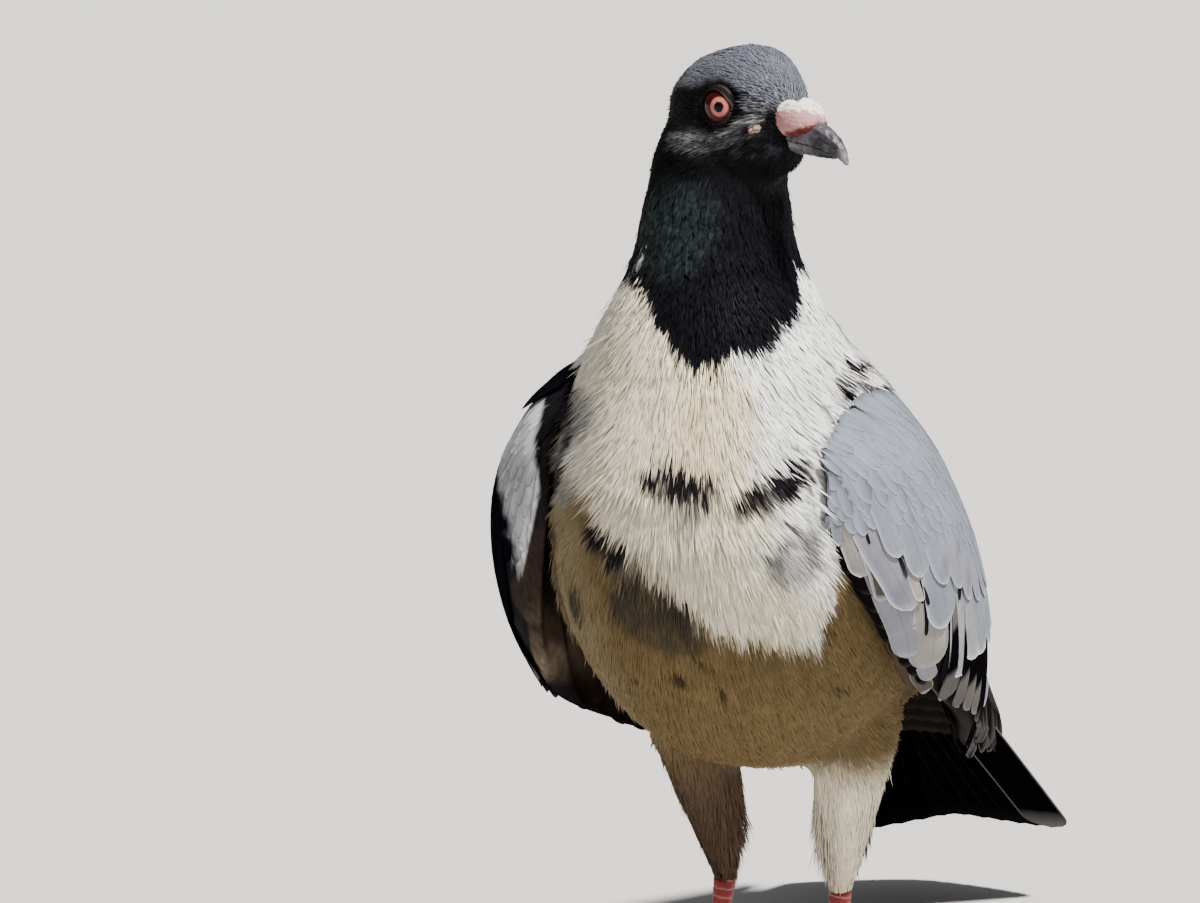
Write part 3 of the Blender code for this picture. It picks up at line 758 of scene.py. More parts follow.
def coatTree():
    tree = bpy.data.node_groups.new("coat", "GeometryNodeTree")
    sockets = {
        "Geometry": "Geometry", "Tuft": "Object", "Finish": "Material", "Turn": "Float",
        "Size Spread": "Float", "Patch Width": "Float", "Seed": "Int",
    }
    for name, kind in sockets.items():
        tree.interface.new_socket(name, in_out="INPUT", socket_type=f"NodeSocket{kind}")
    tree.interface.new_socket("Geometry", in_out="OUTPUT", socket_type="NodeSocketGeometry")
    into = tree.nodes.new("NodeGroupInput").outputs

    def named(attribute):
        node = addNode(tree, "GeometryNodeInputNamedAttribute", {"Name": attribute}, data_type="FLOAT_VECTOR")
        return node.outputs["Attribute"]

    def spread(amount, seedShift):
        # a random number between minus and plus the amount
        low = maths(tree, "MULTIPLY", amount, -1)
        seed = maths(tree, "ADD", into["Seed"], seedShift)
        limits = {2: low, 3: amount, "Seed": seed}
        return addNode(tree, "FunctionNodeRandomValue", limits, data_type="FLOAT").outputs[1]

    laid = addNode(tree, "FunctionNodeAlignRotationToVector", {"Vector": named("lie")}, axis="Y")
    upright = addNode(
        tree, "FunctionNodeAlignRotationToVector", {"Rotation": laid.outputs[0], "Vector": named("face")},
        axis="Z", pivot_axis="Y")
    angles = {"Z": spread(into["Turn"], 1), "Y": spread(into["Turn"], 2)}
    turns = addNode(tree, "ShaderNodeCombineXYZ", angles)
    swing = addNode(tree, "FunctionNodeEulerToRotation", {0: turns.outputs[0]})
    turned = addNode(
        tree, "FunctionNodeRotateRotation", {"Rotation": upright.outputs[0], "Rotate By": swing.outputs[0]},
        rotation_space="LOCAL")
    size = scaledNode(tree, named("size"), maths(tree, "ADD", spread(into["Size Spread"], 3), 1))
    tuft = addNode(tree, "GeometryNodeObjectInfo", {"Object": into["Tuft"]})
    setOn = addNode(tree, "GeometryNodeInstanceOnPoints", {
        "Points": into["Geometry"], "Instance": tuft.outputs["Geometry"],
        "Rotation": turned.outputs[0], "Scale": size,
    })
    real = addNode(tree, "GeometryNodeRealizeInstances", {0: setOn.outputs[0]})
    patch = scaledNode(tree, named("patch"), into["Patch Width"])
    placed = addNode(tree, "ShaderNodeVectorMath", {0: named("rootMap"), 1: patch})
    unwrap = {"Geometry": real.outputs[0], "Name": "OFBake", "Value": placed.outputs[0]}
    store = addNode(tree, "GeometryNodeStoreNamedAttribute", unwrap, data_type="FLOAT2", domain="CORNER")
    last = {"Geometry": store.outputs[0], "Material": into["Finish"]}
    finished = addNode(tree, "GeometryNodeSetMaterial", last)
    tree.links.new(finished.outputs[0], tree.nodes.new("NodeGroupOutput").inputs[0])
    return tree


tuftTree = coatTree()
shortTuft = tuftObject("shortTuft", ((0, 0.75, -0.35), (0.66, 1.0, 0.5)))
coatPlan = {"most": 19000, "softness": 0.7, "values": {"Size Spread": 0.2, "Patch Width": 0.003}}
coatCount = 0


def rootMap(places):
    # an unwrap of the body: round the spine across, along the spine up
    p = birdOf(places)
    reach, way, foot = alongSpine(p)
    d = p - foot
    around = np.arctan2(d[:, 0], -(d * np.cross(way, np.array([1.0, 0, 0]))).sum(1)) / (2 * math.pi) + 0.5
    low, high = reach.min(), reach.max()
    upward = (reach - low) / max(high - low, 1)
    return np.stack([0.01 + 0.975 * around, 0.01 + 0.975 * upward, 0 * around], 1)


def growCoat(name, tufts, finish, turn, seed):
    # a tuft's size is its width, length and rise in millimetres
    global coatCount
    mesh = bpy.data.meshes.new(name)
    mesh.vertices.add(len(tufts["places"]))
    mesh.vertices.foreach_set("co", tufts["places"].astype(np.float32).ravel())
    putVectors(mesh, "face", tufts["normals"])
    putVectors(mesh, "lie", tufts["lie"])
    putVectors(mesh, "size", tufts["size"] * mm)
    putVectors(mesh, "rootMap", rootMap(tufts["places"]))
    putColour(mesh, "tone", np.clip(tufts["colours"], 0.0008, 1))
    obj = addPiece(name, mesh)
    modifier = obj.modifiers.new("Coat", "NODES")
    modifier.node_group = tuftTree
    values = {"Tuft": shortTuft, "Finish": finish, "Turn": turn, "Seed": seed, **coatPlan["values"]}
    for socket in tuftTree.interface.items_tree:
        if socket.in_out == "INPUT" and socket.name in values:
            modifier[socket.identifier] = values[socket.name]
    evaluated(obj)
    obj.data.shade_smooth()
    # lit as the soft surface they make together, more than blade by blade
    own = np.zeros(3 * len(obj.data.vertices))
    obj.data.vertices.foreach_get("normal", own)
    together = np.zeros_like(own)
    obj.data.attributes["face"].data.foreach_get("vector", together)
    softness = coatPlan["softness"]
    soft = unit(own.reshape(-1, 3) * (1 - softness) + together.reshape(-1, 3) * softness)
    for extra in ("face", "lie", "size", "rootMap"):
        layer = obj.data.attributes.get(extra)
        if layer:
            obj.data.attributes.remove(layer)
    obj.data.normals_split_custom_set_from_vertices(soft)
    count = sum(len(f.vertices) - 2 for f in obj.data.polygons)
    coatCount += count
    report(f"{name}: {len(tufts['places'])} tufts, {count} triangles")
    finishPiece(obj)


def layCoat(name, tufts, index, finish, turn, seed):
    # split so that no piece grows too heavy
    parts = int(math.ceil(len(index) / coatPlan["most"]))
    for part, some in enumerate(np.array_split(index, parts)):
        own = {key: value[some] for key, value in tufts.items()}
        growCoat(f"{name}{part + 1}", own, finish, turn, seed + part)


def clumped(places, normals, lie, length, spacing, pull):
    # tufts lean towards the middle of their lock, so that the tips gather
    cells = np.floor(places / (spacing * mm)).astype(np.int64)
    _, first = np.unique(cells, axis=0, return_index=True)
    locks = KDTree(len(first))
    for i, k in enumerate(first):
        locks.insert(places[k], i)
    locks.balance()
    middle = np.array([locks.find(p)[0] for p in places])
    gather = flatten(middle - places, normals) * np.broadcast_to(pull, len(places))[:, None]
    return unit(lie * (length * mm)[:, None] + gather)


def uncovered(places, normals):
    # True where no wing or tail lies close over the skin
    free = np.ones(len(places), bool)
    for k, (place, normal) in enumerate(zip(places, normals)):
        if coverTree.ray_cast(Vector(place), Vector(normal), bodyPlan["cover"] * mm)[0] is not None:
            free[k] = False
    return free


def overWing(places, lie, length):
    # tufts at a wing's edge lie over the wing instead of running into it
    gap = bodyPlan["gap"]
    tips = places + lie * (length * mm)[:, None]
    for k, tip in enumerate(tips):
        near, normal, _, _ = coverTree.find_nearest(Vector(tip), 9 * mm)
        if near is None:
            continue
        height = (Vector(tip) - near).dot(normal)
        if height < gap * mm:
            tips[k] += np.array(normal) * (gap * mm - height)
    return unit(tips - places)


bodyPlan = {
    "spacing": 0.68, "fine": 0.50, "breastLength": 8.0, "bellyLength": 6.5, "width": 0.46, "rise": 1.15,
    "lock": 3.2, "pull": 0.36, "headTop": 214, "cover": 16, "gap": 1.5,
}


def bodyCoat():
    def inFront(m):
        p = birdOf(m)
        return (p[:, 2] < bodyPlan["headTop"]) & (p[:, 1] < -35) & (p[:, 2] > 100)

    def behind(m):
        return (birdOf(m)[:, 2] < bodyPlan["headTop"]) & ~inFront(m)

    fine = spreadRoots(inFront, bodyPlan["fine"], 3)
    coarse = spreadRoots(behind, bodyPlan["spacing"], 5)
    places, normals = (np.concatenate(both) for both in zip(fine, coarse))
    free = uncovered(places, normals)
    # none under the thighs' lower ends
    free &= (normals[:, 2] > -0.55) | (birdOf(places)[:, 2] > 40)
    places, normals = places[free], normals[free]
    source = np.random.default_rng(4)
    p = birdOf(places)
    n = len(p)
    x, y, z = p.T
    aboveBib = z - bibEdge(p)
    inBib = (aboveBib > -1) & (y < 25)
    shelf = shelfHeight(p)
    onBreast = smoothStep(shelf, -3, 3) * smoothStep(-y, 25, 45)
    onLeg = smoothStep(62 - z, 0, 12) * smoothStep(50 - np.abs(y - 5), 0, 12)
    length = bodyPlan["bellyLength"] + (bodyPlan["breastLength"] - bodyPlan["bellyLength"]) * onBreast
    length = length * (1 - onLeg) + 6.0 * onLeg
    # scaly, broader feathers in front of the neck, hair-like barbs along the lower edge
    scaly = softPatch(p, (-4, -76, 207), (16, 14, 14), 0) * inBib
    length = np.where(inBib, 4.2 + 1.6 * smoothStep(16 - aboveBib, 0, 12), length)
    length = length * (1 + 0.16 * source.normal(size=n).clip(-2, 2))
    width = bodyPlan["width"] * (1 + 0.25 * source.normal(size=n).clip(-2, 2))
    width = width * np.where(inFront(places), 0.82, 1.1)
    width = width * (1 + 2.6 * scaly * (source.random(n) < 0.5))
    width = np.where(inBib & (aboveBib < 9), 0.72 * width, width)
    rise = bodyPlan["rise"] * (0.30 + 0.28 * onBreast + 0.25 * source.random(n))
    rise = rise * (1 + 0.5 * scaly)
    fringe = np.exp(-((shelf - 1.5) / 2.6) ** 2) * smoothStep(-y, 40, 60)
    fringe = fringe * smoothStep(valueNoise(places, 5, 96), -1.2, 0.6)
    rise = rise + 0.7 * fringe
    length = length + 0.8 * fringe
    lie = coatLie(places, normals)
    # beside the wings' front edges the breast feathers are longer, to lie over them
    ahead = smoothStep(-y, 36, 48) * smoothStep(z, 124, 134)
    for k in np.where((ahead > 0) & ~inBib)[0]:
        near, _, _, away = coverTree.find_nearest(Vector(places[k]), 13 * mm)
        if near is not None:
            length[k] *= 1 + 0.15 * ahead[k] * (1 - away / (13 * mm))
    pull = bodyPlan["pull"] * (0.35 + 0.65 * onBreast)
    lie = clumped(places, normals, lie, length, bodyPlan["lock"], pull)
    stray = source.random(n) < 0.02
    lie = unit(lie + normals * (0.06 * source.random(n) + 0.25 * stray * source.random(n))[:, None])
    # the thighs are shaggy at their inner and hind sides
    inward = -np.sign(x) * normals[:, 0]
    shaggy = onLeg * smoothStep(np.maximum(inward, normals[:, 1]), 0.1, 0.8) * smoothStep(z, 34, 50)
    length = length * (1 + 0.55 * shaggy)
    lie = unit(lie + normals * (0.42 * shaggy * source.random(n))[:, None])
    lie = overWing(places, lie, length)
    # what shows of a tuft is its outer end, so that is where its colour is read
    shown = length * 0.75 + source.normal(size=n) * 0.9
    colours = plumageColour(places + coatLie(places, normals) * (shown * mm)[:, None])
    vary = np.where(inBib, 0.35, 0.07)
    locks = 0.06 * valueNoise(places, 1.8, 97)
    colours = colours * (1 + vary * source.normal(size=n).clip(-2, 2.2) + locks)[:, None]
    tufts = {
        "places": places, "normals": normals, "lie": lie, "colours": colours,
        "size": np.stack([width, length, rise], 1),
    }
    upper = ~inBib & (shelf > -5) & (y < 10)
    looks = {
        "breast": coatFinish("breast feathers", 0.80, 1.03, 0.8, 0.08),
        "belly": coatFinish("belly feathers", 0.90, 1.02, 0.85, 0.06),
        "neck": coatFinish("neck feathers", 0.4, 1.5, 0.5, 0.07),
    }
    for name, chosen in (("neck", inBib), ("breast", upper), ("belly", ~inBib & ~upper)):
        index = np.where(chosen)[0]
        index = index[np.argsort(z[index], kind="stable")]
        layCoat(f"{name}Coat", tufts, index, looks[name], 0.05, 10)


bodyCoat()


# head: short tufts that sweep back from the bill
headPlan = {"spacing": 0.40, "length": 2.6, "width": 0.30, "rise": 0.55}


def headCoat():
    places, normals = spreadRoots(lambda m: birdOf(m)[:, 2] >= bodyPlan["headTop"], headPlan["spacing"], 6)
    source = np.random.default_rng(7)
    h = headLocal(places)
    fromEye = np.hypot(h[:, 1] - eyeLocal[1], h[:, 2] - eyeLocal[2])
    ahead = smoothStep(eyeLocal[1] - h[:, 1], 0, 3)
    bare = (fromEye < 5.3 + 1.1 * ahead) & (np.abs(h[:, 0]) > 4)
    billTree = treeOf(["bill_upper", "bill_lower", "cere"])
    for k in np.where(h[:, 1] < -10)[0]:
        if billTree.find_nearest(Vector(places[k]), 0.5 * mm)[0] is not None:
            bare[k] = True
    places, normals, h, fromEye = places[~bare], normals[~bare], h[~bare], fromEye[~bare]
    n = len(places)
    z = birdOf(places)[:, 2]
    crown = smoothStep(h[:, 2] - 4, 0, 4)
    front = smoothStep(-h[:, 1], 10, 16)
    length = headPlan["length"] * (1 + 0.6 * smoothStep(226 - z, 0, 10) - 0.2 * crown - 0.35 * front)
    length = length * (1 + 0.2 * source.normal(size=n).clip(-2, 2))
    width = headPlan["width"] * (1 + 0.25 * source.normal(size=n).clip(-2, 2))
    rise = headPlan["rise"] * (0.6 + 0.6 * source.random(n)) * (1 - 0.5 * crown)
    # stiff loose strands between the bill, the eye and the cheek
    loose = softPatch(h * np.array([0, 1, 1]), (0, -9, -2.5), (7, 7, 5.5), 0) * (source.random(n) < 0.35)
    rise = rise * (1 + 0.9 * loose)
    length = length * (1 + 0.5 * loose) * (0.45 + 0.55 * smoothStep(fromEye, 5.5, 10))
    width = width * (1 + 0.5 * loose)
    lie = coatLie(places, normals)
    lie = clumped(places, normals, lie, length, 1.3, 0.45)
    lie = unit(lie + normals * (0.10 * source.random(n) * (1 - 0.6 * crown))[:, None])
    shown = length * 0.7 + source.normal(size=n) * 0.35
    colours = plumageColour(places + lie * (shown * mm)[:, None])
    streak = valueNoise(places, 0.8, 8)
    fleck = (source.random(n) < 0.012 * smoothStep(-h[:, 1], -2, 12)) * 0.9
    vary = 0.07 + 0.3 * (1 - crown)
    colours = colours * (1 + vary * source.normal(size=n).clip(-2, 2.4) + 0.10 * streak + fleck)[:, None]
    tufts = {
        "places": places, "normals": normals, "lie": lie, "colours": colours,
        "size": np.stack([width, length, rise], 1),
    }
    index = np.argsort(h[:, 1], kind="stable")
    look = coatFinish("head feathers", 0.78, 1.1, 0.6, 0.08)
    layCoat("headCoat", tufts, index, look, 0.12, 30)


headCoat()


# wings: feathers laid in rows over the wing's own face
def spreadLine(points, count):
    # points evenly spread along a line drawn through the given ones
    steps = np.concatenate([[0], np.cumsum(np.linalg.norm(np.diff(points, axis=0), axis=1))])
    at = np.linspace(0, steps[-1], count)
    return np.stack([np.interp(at, steps, points[:, k]) for k in range(3)], 1)


def soften(grid, passes, axis):
    grid = np.moveaxis(grid, axis, 0).copy()
    for _ in range(passes):
        grid[1:-1] = (grid[:-2] + 2 * grid[1:-1] + grid[2:]) / 4
    return np.moveaxis(grid, 0, axis)


def denser(grid, times, axis):
    # the same grid with further lines between its own
    count = grid.shape[axis]
    at = np.linspace(0, count - 1, (count - 1) * times + 1)
    first = np.minimum(np.floor(at).astype(int), count - 2)
    share = (at - first).reshape([-1 if k == axis else 1 for k in range(grid.ndim)])
    return np.take(grid, first, axis) * (1 - share) + np.take(grid, first + 1, axis) * share


def readWing(side):
    sign = 1 if side == "left" else -1
    names = (f"wing_{side}", f"primaries_{side}")
    tree = treeOf(names)
    low = min(birdOf(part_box(name)[0])[1] for name in names)
    high = max(birdOf(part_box(name)[1])[1] for name in names)
    ys, outer, inner = [], [], []
    for y in np.linspace(low + 1.0, high - 1.0, 72):
        level = np.interp(y, (-75, -20, 35, 98, 131), (143, 122, 98, 70, 51))
        centre = Vector(worldOf((-4 * sign, y, level)))
        front, back = [], []
        for angle in np.radians(np.linspace(88, -80, 170)):
            way = Vector((math.cos(angle) * sign, 0, math.sin(angle)))
            hit = tree.ray_cast(centre + way * 0.13, -way, 0.128)[0]
            if hit is None:
                continue
            front.append(birdOf(hit))
            back.append(birdOf(tree.ray_cast(centre, way, 0.13)[0]))
        if len(front) < 4:
            continue
        ys.append(y)
        outer.append(spreadLine(np.array(front), 33))
        inner.append(spreadLine(np.array(back), 33))
    sheets = [soften(soften(np.array(grid), 14, 0), 3, 1) for grid in (outer, inner)]
    lengths = np.linalg.norm(np.diff(sheets[0], axis=1), axis=2).sum(1)
    low = sheets[0][:, -1, 2]
    return {"y": np.array(ys), "outer": sheets[0], "inner": sheets[1], "length": lengths, "low": low}


def sheetPlace(sheet, face, y, height):
    # a place on the wing's face, for a distance back and a height measured along the face from its lower edge
    grid = sheet[face]
    rows, columns = grid.shape[:2]
    at = (y - sheet["y"][0]) / (sheet["y"][-1] - sheet["y"][0]) * (rows - 1)
    at = np.clip(at, -0.3, rows - 0.2)
    j = np.clip(np.floor(at), 0, rows - 2).astype(int)
    f = at - j
    total = sheet["length"][j] * (1 - f) + sheet["length"][j + 1] * f
    lowest = sheet["low"][j] * (1 - f) + sheet["low"][j + 1] * f
    down = np.clip(total + lowest - height, -3, total + 3.5)
    across = down / total * (columns - 1)
    k = np.clip(np.floor(across), 0, columns - 2).astype(int)
    g = (across - k)[..., None]
    f = f[..., None]
    near = grid[j, k] * (1 - g) + grid[j, k + 1] * g
    far = grid[j + 1, k] * (1 - g) + grid[j + 1, k + 1] * g
    return near * (1 - f) + far * f


def wingSurface(sheet, side, face="outer"):
    sign = (1 if side == "left" else -1) * (1 if face == "outer" else -1)

    def surface(y, height):
        place = sheetPlace(sheet, face, y, height)
        back = sheetPlace(sheet, face, y + 1.5, height) - sheetPlace(sheet, face, y - 1.5, height)
        up = sheetPlace(sheet, face, y, height + 1.5) - sheetPlace(sheet, face, y, height - 1.5)
        return place, unit(np.cross(back, up)) * sign

    return surface


def layVanes(name, surface, quills, finish, rows, across, shade=None,
             pinch=0.45, thick=0.22, replaced=()):
    # each quill gives its root (a, b) on the surface, its angle, sizes, tone and mark
    out = 1 - (1 - np.linspace(0, 1, rows + 1)) ** 1.45
    out, over = np.meshgrid(out, np.linspace(-1, 1, across + 1), indexing="ij")
    count = len(quills)

    def column(key):
        return np.array([q[key] for q in quills], float)[:, None, None]

    angle, length, half = np.radians(column("angle")), column("length"), column("half")
    # flat coordinates draw together where the face turns, so widths are measured on the face
    midA = column("a") + np.cos(angle) * length * 0.6
    midB = column("b") - np.sin(angle) * length * 0.6
    one, _ = surface(midA + np.sin(angle), midB + np.cos(angle))
    other, _ = surface(midA - np.sin(angle), midB - np.cos(angle))
    half = half / np.clip(np.linalg.norm(one - other, axis=-1) / 2, 0.85, 2.5)
    tipStart = np.clip(1 - column("tip") * half / length, 0.15, 0.97)
    tipRound = np.sqrt(np.clip(1 - ((out - tipStart).clip(0, 1) / (1 - tipStart)) ** 2, 0.012, 1))
    body = pinch + (1 - pinch) * np.sin(np.clip(out / 0.5, 0, 1) * math.pi / 2)
    wide = half * body * tipRound
    along = out * length
    side = over * wide + column("bend") * length * out**2
    a = column("a") + np.cos(angle) * along + np.sin(angle) * side
    b = column("b") - np.sin(angle) * along + np.cos(angle) * side
    place, normal = surface(a, b)
    height = column("lift") + column("rise") * out**1.3
    height = height - column("roll") * over * body - column("camber") * over**2 * wide
    top = place + normal * height[..., None]
    thin = thick * (1 - 0.45 * np.abs(over))[None] * np.ones_like(wide)
    bottom = top - normal * thin[..., None]
    size = (rows + 1) * (across + 1)
    points = np.concatenate([top.reshape(count, size, 3), bottom.reshape(count, size, 3)], 1).reshape(-1, 3)
    index = np.arange(size).reshape(rows + 1, across + 1)
    quads = np.stack([index[:-1, :-1], index[1:, :-1], index[1:, 1:], index[:-1, 1:]], -1).reshape(-1, 4)
    rim = np.concatenate([index[0, :], index[1:, -1], index[-1, -2::-1], index[-2:0:-1, 0]])
    following = np.roll(rim, -1)
    edge = np.stack([rim, following, following + size, rim + size], 1)
    one = np.concatenate([quads[:, ::-1], quads + size, edge])
    # turn the faces outward, whichever way round the surface runs
    sample = points[: 2 * size]
    corner = sample[one]
    volume = np.einsum("ij,ij->", corner[:, 0], np.cross(corner[:, 1], corner[:, 2]))
    volume += np.einsum("ij,ij->", corner[:, 0], np.cross(corner[:, 2], corner[:, 3]))
    if volume < 0:
        one = one[:, ::-1]
    faces = (one[None] + (np.arange(count) * 2 * size)[:, None, None]).reshape(-1, 4)
    mesh = buildMesh(name, worldOf(points), [faces], finish)
    own = np.repeat(np.array([q["tone"] for q in quills], float), 2 * size, axis=0)
    marks = np.array([q["mark"] for q in quills], float)
    if shade:
        flatA = np.concatenate([a.reshape(count, size)] * 2, 1).ravel()
        flatB = np.concatenate([b.reshape(count, size)] * 2, 1).ravel()
        own = shade(own, flatA, flatB)
    putColour(mesh, "tone", np.clip(own, 0.001, 1))
    putColour(mesh, "mark", np.repeat(marks, 2 * size, axis=0))
    vane = np.stack([np.tile(over.ravel(), 2), np.tile(out.ravel(), 2)], 1)
    putMap(mesh, "vane", np.tile(vane, (count, 1)))
    cells = int(math.ceil(math.sqrt(count)))
    cell = np.stack([np.arange(count) % cells, np.arange(count) // cells], 1)
    inside = np.stack([vane[:, 0] * 0.45 + 0.5, vane[:, 1] * 0.92 + 0.04], 1)
    putMap(mesh, "OFBake", ((cell[:, None] + inside[None]) / cells).reshape(-1, 2))
    obj = addPiece(name, mesh)
    report(f"{name}: {count} feathers, {2 * len(faces)} triangles")
    return finishPiece(obj, replaced)


# the right wing's painted sunlit band lies between a rim and an outer line, given as distances back for
# heights
rimLine = (
    (84, -18), (88, -23.5), (99, -37.5), (105, -43.5), (112, -45), (117, -48), (119, -53), (122.5, -56),
    (126.5, -59), (130, -61.5), (134, -64), (137.5, -66), (143.5, -67), (147.5, -65.5), (151, -64),
    (155.5, -62), (159, -60.5), (162, -58.5), (166, -55), (172, -50),
)
bandLine = (
    (118, -54), (120.5, -53.5), (124.5, -56), (132, -56.5), (135.5, -56.5), (139.5, -54.5), (143, -52),
    (147.5, -47.5), (153, -44), (160, -42),
)


def rightWingLitAndShaded(a, b):
    # painted shade over the outer face, with a painted sunlit band that is whitest, a painted highlight,
    # along its front edge, and the inner face's painted shade ahead of that edge
    rim, far = lineAt(rimLine, b), lineAt(bandLine, b)
    wobble = 0.8 * np.sin(1.1 * b + 0.4 * a) + 0.5 * np.sin(2.3 * b - 0.9 * a)
    level = smoothStep(b + 0.6 * wobble, 116, 120) * smoothStep(166 - b + wobble, 0, 3)
    band = smoothStep(far + wobble - a, -2.2, 1.6) * level
    rimLight = 0.8 * smoothStep(rim + 5 + 0.5 * wobble - a, 0, 4.5)
    sunlitBand = mix(tones["wingSunlitBand"], tones["wingRimHighlight"], rimLight)
    sunlitBand = sunlitBand * (0.92 + 0.08 * np.sin(2.9 * b + 2.1 * a))[:, None]
    colour = mix(np.array(tones["rightWingShade"]) + 0 * sunlitBand, sunlitBand, band)
    ahead = mix(underShade(None, a, b), tones["wingAheadShade"], smoothStep(b, 126, 134))
    return mix(colour, ahead, smoothStep(rim - 0.2 - a, -0.5, 0.5))


quillColumns = ("step", "length", "half", "rise", "roll", "tip", "mark")
wingRows = {
    # rise is how far the tip stands proud, mark how strong its pale edge and dark bars are
    "lesser": (3.2, 15, 1.8, 0.10, 0.03, 3.4, (0.06, 0, 0)),
    "median": (8.5, 23, 4.2, 0.40, 0.14, 1.9, (0.40, 0, 0)),
    "greater": (10, 31, 5.4, 0.45, 0.18, 1.5, (0.70, 0, 0)),
    "secondary": (9, 50, 5.6, 0.9, 0.3, 1.3, (0.5, 1, 0)),
    "alula": (7.5, 16, 2.4, 0.6, 0.2, 2.0, (0.9, 0, 0)),
    "slit": (7, 7.5, 0.42, 0.25, 0, 4.0, (0, 0, 0)),
    "handCovert": (7, 20, 2.6, 0.5, 0.15, 2.2, (0.05, 0, 0)),
    "scapular": (8.5, 36, 8.0, 0.7, 0.2, 1.6, (0.2, 0, 0)),
    "tertial": (11, 70, 10.5, 1.1, 0.3, 1.3, (0.3, 1, 0)),
    "primary": (9, 96, 6.4, 0.8, 0.35, 1.6, (0.35, 0, 0)),
    "under": (9, 44, 7.5, 0.5, 0.2, 1.3, (0.05, 0, 0)),
}

# the larger feathers low on the left wing, kind by kind, in the order they are laid:
# the tip's distance back and height, slope, length, half width, level, tone
frontFeathers = (
    ("alula", (
        (-69.5, 131.0, 66, 12, 1.4, 7.6, "wing"), (-63.0, 123.5, 58, 18, 2.8, 7.0, "wingWarm"),
        (-58.5, 117.0, 61, 24, 1.9, 6.0, "wingBrown"), (-58.8, 117.6, 60, 24, 0.8, 6.4, "wingPale"),
    )),
    ("greater", (
        (-42.5, 101.0, 50, 32, 4.2, 5.6, "wingLilac"), (-52.5, 116.0, 53, 29, 4.2, 8.2, "wingLilac"),
        (-50.5, 118.5, 58, 16, 2.2, 6.6, "wingWarm"), (-35.5, 98.5, 57, 32, 5.4, 5.2, "wingWarm"),
        (-39.5, 110.5, 60, 26, 5.2, 8.0, "wing"), (-22.0, 94.5, 60, 34, 6.2, 6.2, "wingPale"),
        (-14.5, 97.5, 57, 32, 8.0, 7.6, "wingPale"), (-6.5, 98.5, 53, 30, 9.0, 8.2, "wing"),
    )),
    ("median", (
        (-60.0, 129.5, 66, 20, 3.0, 9.0, "wing"), (-52.0, 125.0, 62, 22, 3.6, 8.8, "wing"),
        (-44.0, 121.5, 62, 23, 4.2, 9.1, "wing"), (-35.5, 119.0, 62, 23, 4.4, 9.3, "wingLilac"),
        (-27.0, 114.5, 60, 24, 4.4, 8.9, "wing"), (-18.0, 112.0, 57, 24, 4.6, 9.0, "wingLilac"),
        (-9.0, 111.0, 54, 24, 4.6, 9.1, "wing"),
    )),
    ("greater", (
        (-32.5, 93.5, 42, 13, 2.3, 4.3, "wingPale"), (-29.5, 88.5, 42, 17, 2.5, 3.7, "wingBrown"),
        (-23.0, 86.0, 63, 14, 1.2, 4.4, "wingWarm"),
    )),
    # dark slivers between the large feathers: their dark inner webs, with painted shade in the gaps
    ("slit", (
        (-56.5, 124.5, 58, 8, 0.5, 9.6, "wingSlitWebAndShade"), (-61.0, 131.5, 69, 7.5, 0.3, 10, "wingSlitWebAndShade"),
        (-66.0, 132.5, 67, 7, 0.35, 8.6, "wingSlitWebAndShade"), (-50.5, 117.5, 66, 7, 0.45, 9.2, "wingSlitWebAndShade"),
        (-48.5, 117.0, 55, 6, 0.5, 9.4, "wingSlitWebAndShade"), (-35.3, 115.5, 80, 5, 0.9, 9.6, "wingSlitWebAndShade"),
        (-44.5, 108.5, 60, 11, 0.5, 6.6, "wingSlitWebAndShade"), (-26.5, 91.5, 62, 15, 2.2, 4.2, "wingSlitWebAndShade"),
    )),
)
# rows behind them: kind, first and last tip, slopes there, level
rearRows = {
    "left": (
        ("greater", (1, 99.5), (60, 101.5), (50, 31), 8.0), ("median", (-2, 111), (54, 114), (51, 34), 9.1),
    ),
    "right": (
        ("greater", (-38, 104), (60, 101.5), (54, 31), 3.0), ("median", (-40, 114), (54, 114), (56, 34), 4.0),
    ),
}
# faint darker clouds on the left wing: distance back, height
smudges = ((-56.5, 122.5), (-45.5, 127), (-38.5, 128.5), (-30, 119), (-18.5, 125), (-12.5, 117))


def quill(side, kind, a, b, angle, level, source, length=None, half=None, tone=None, scale=1.0):
    # one feather by its tip; the right wing is painted in shade away from its painted sunlit leading band
    plan = dict(zip(quillColumns, wingRows[kind]))
    length = (length or plan["length"] * scale) * (1 + 0.05 * source.normal())
    half = (half or plan["half"] * scale) * (1 + 0.05 * source.normal())
    mark = plan["mark"]
    if tone:
        tone = tones[tone]
    elif kind in ("primary", "under", "handCovert"):
        tone = tones["quill"]
    elif side == "left":
        tone = tones["wing"]
    else:
        tone = tones["rightWingShade"]
        mark = (0, 0, 0)
    if side == "right" and kind not in ("under", "scapular"):
        # coloured by their place, so here only a little lighter or darker
        tone = (1, 1, 1)
    turn = math.radians(angle)
    return {
        **plan, "a": a - math.cos(turn) * length, "b": b + math.sin(turn) * length, "angle": angle,
        "length": length, "half": half, "lift": 0.25 + level * 0.09, "camber": 0.035,
        "bend": 0.02 * source.normal(), "mark": mark,
        "tone": np.array(tone) * (1 + (0.035 if side == "left" else 0.08) * source.normal()),
    }


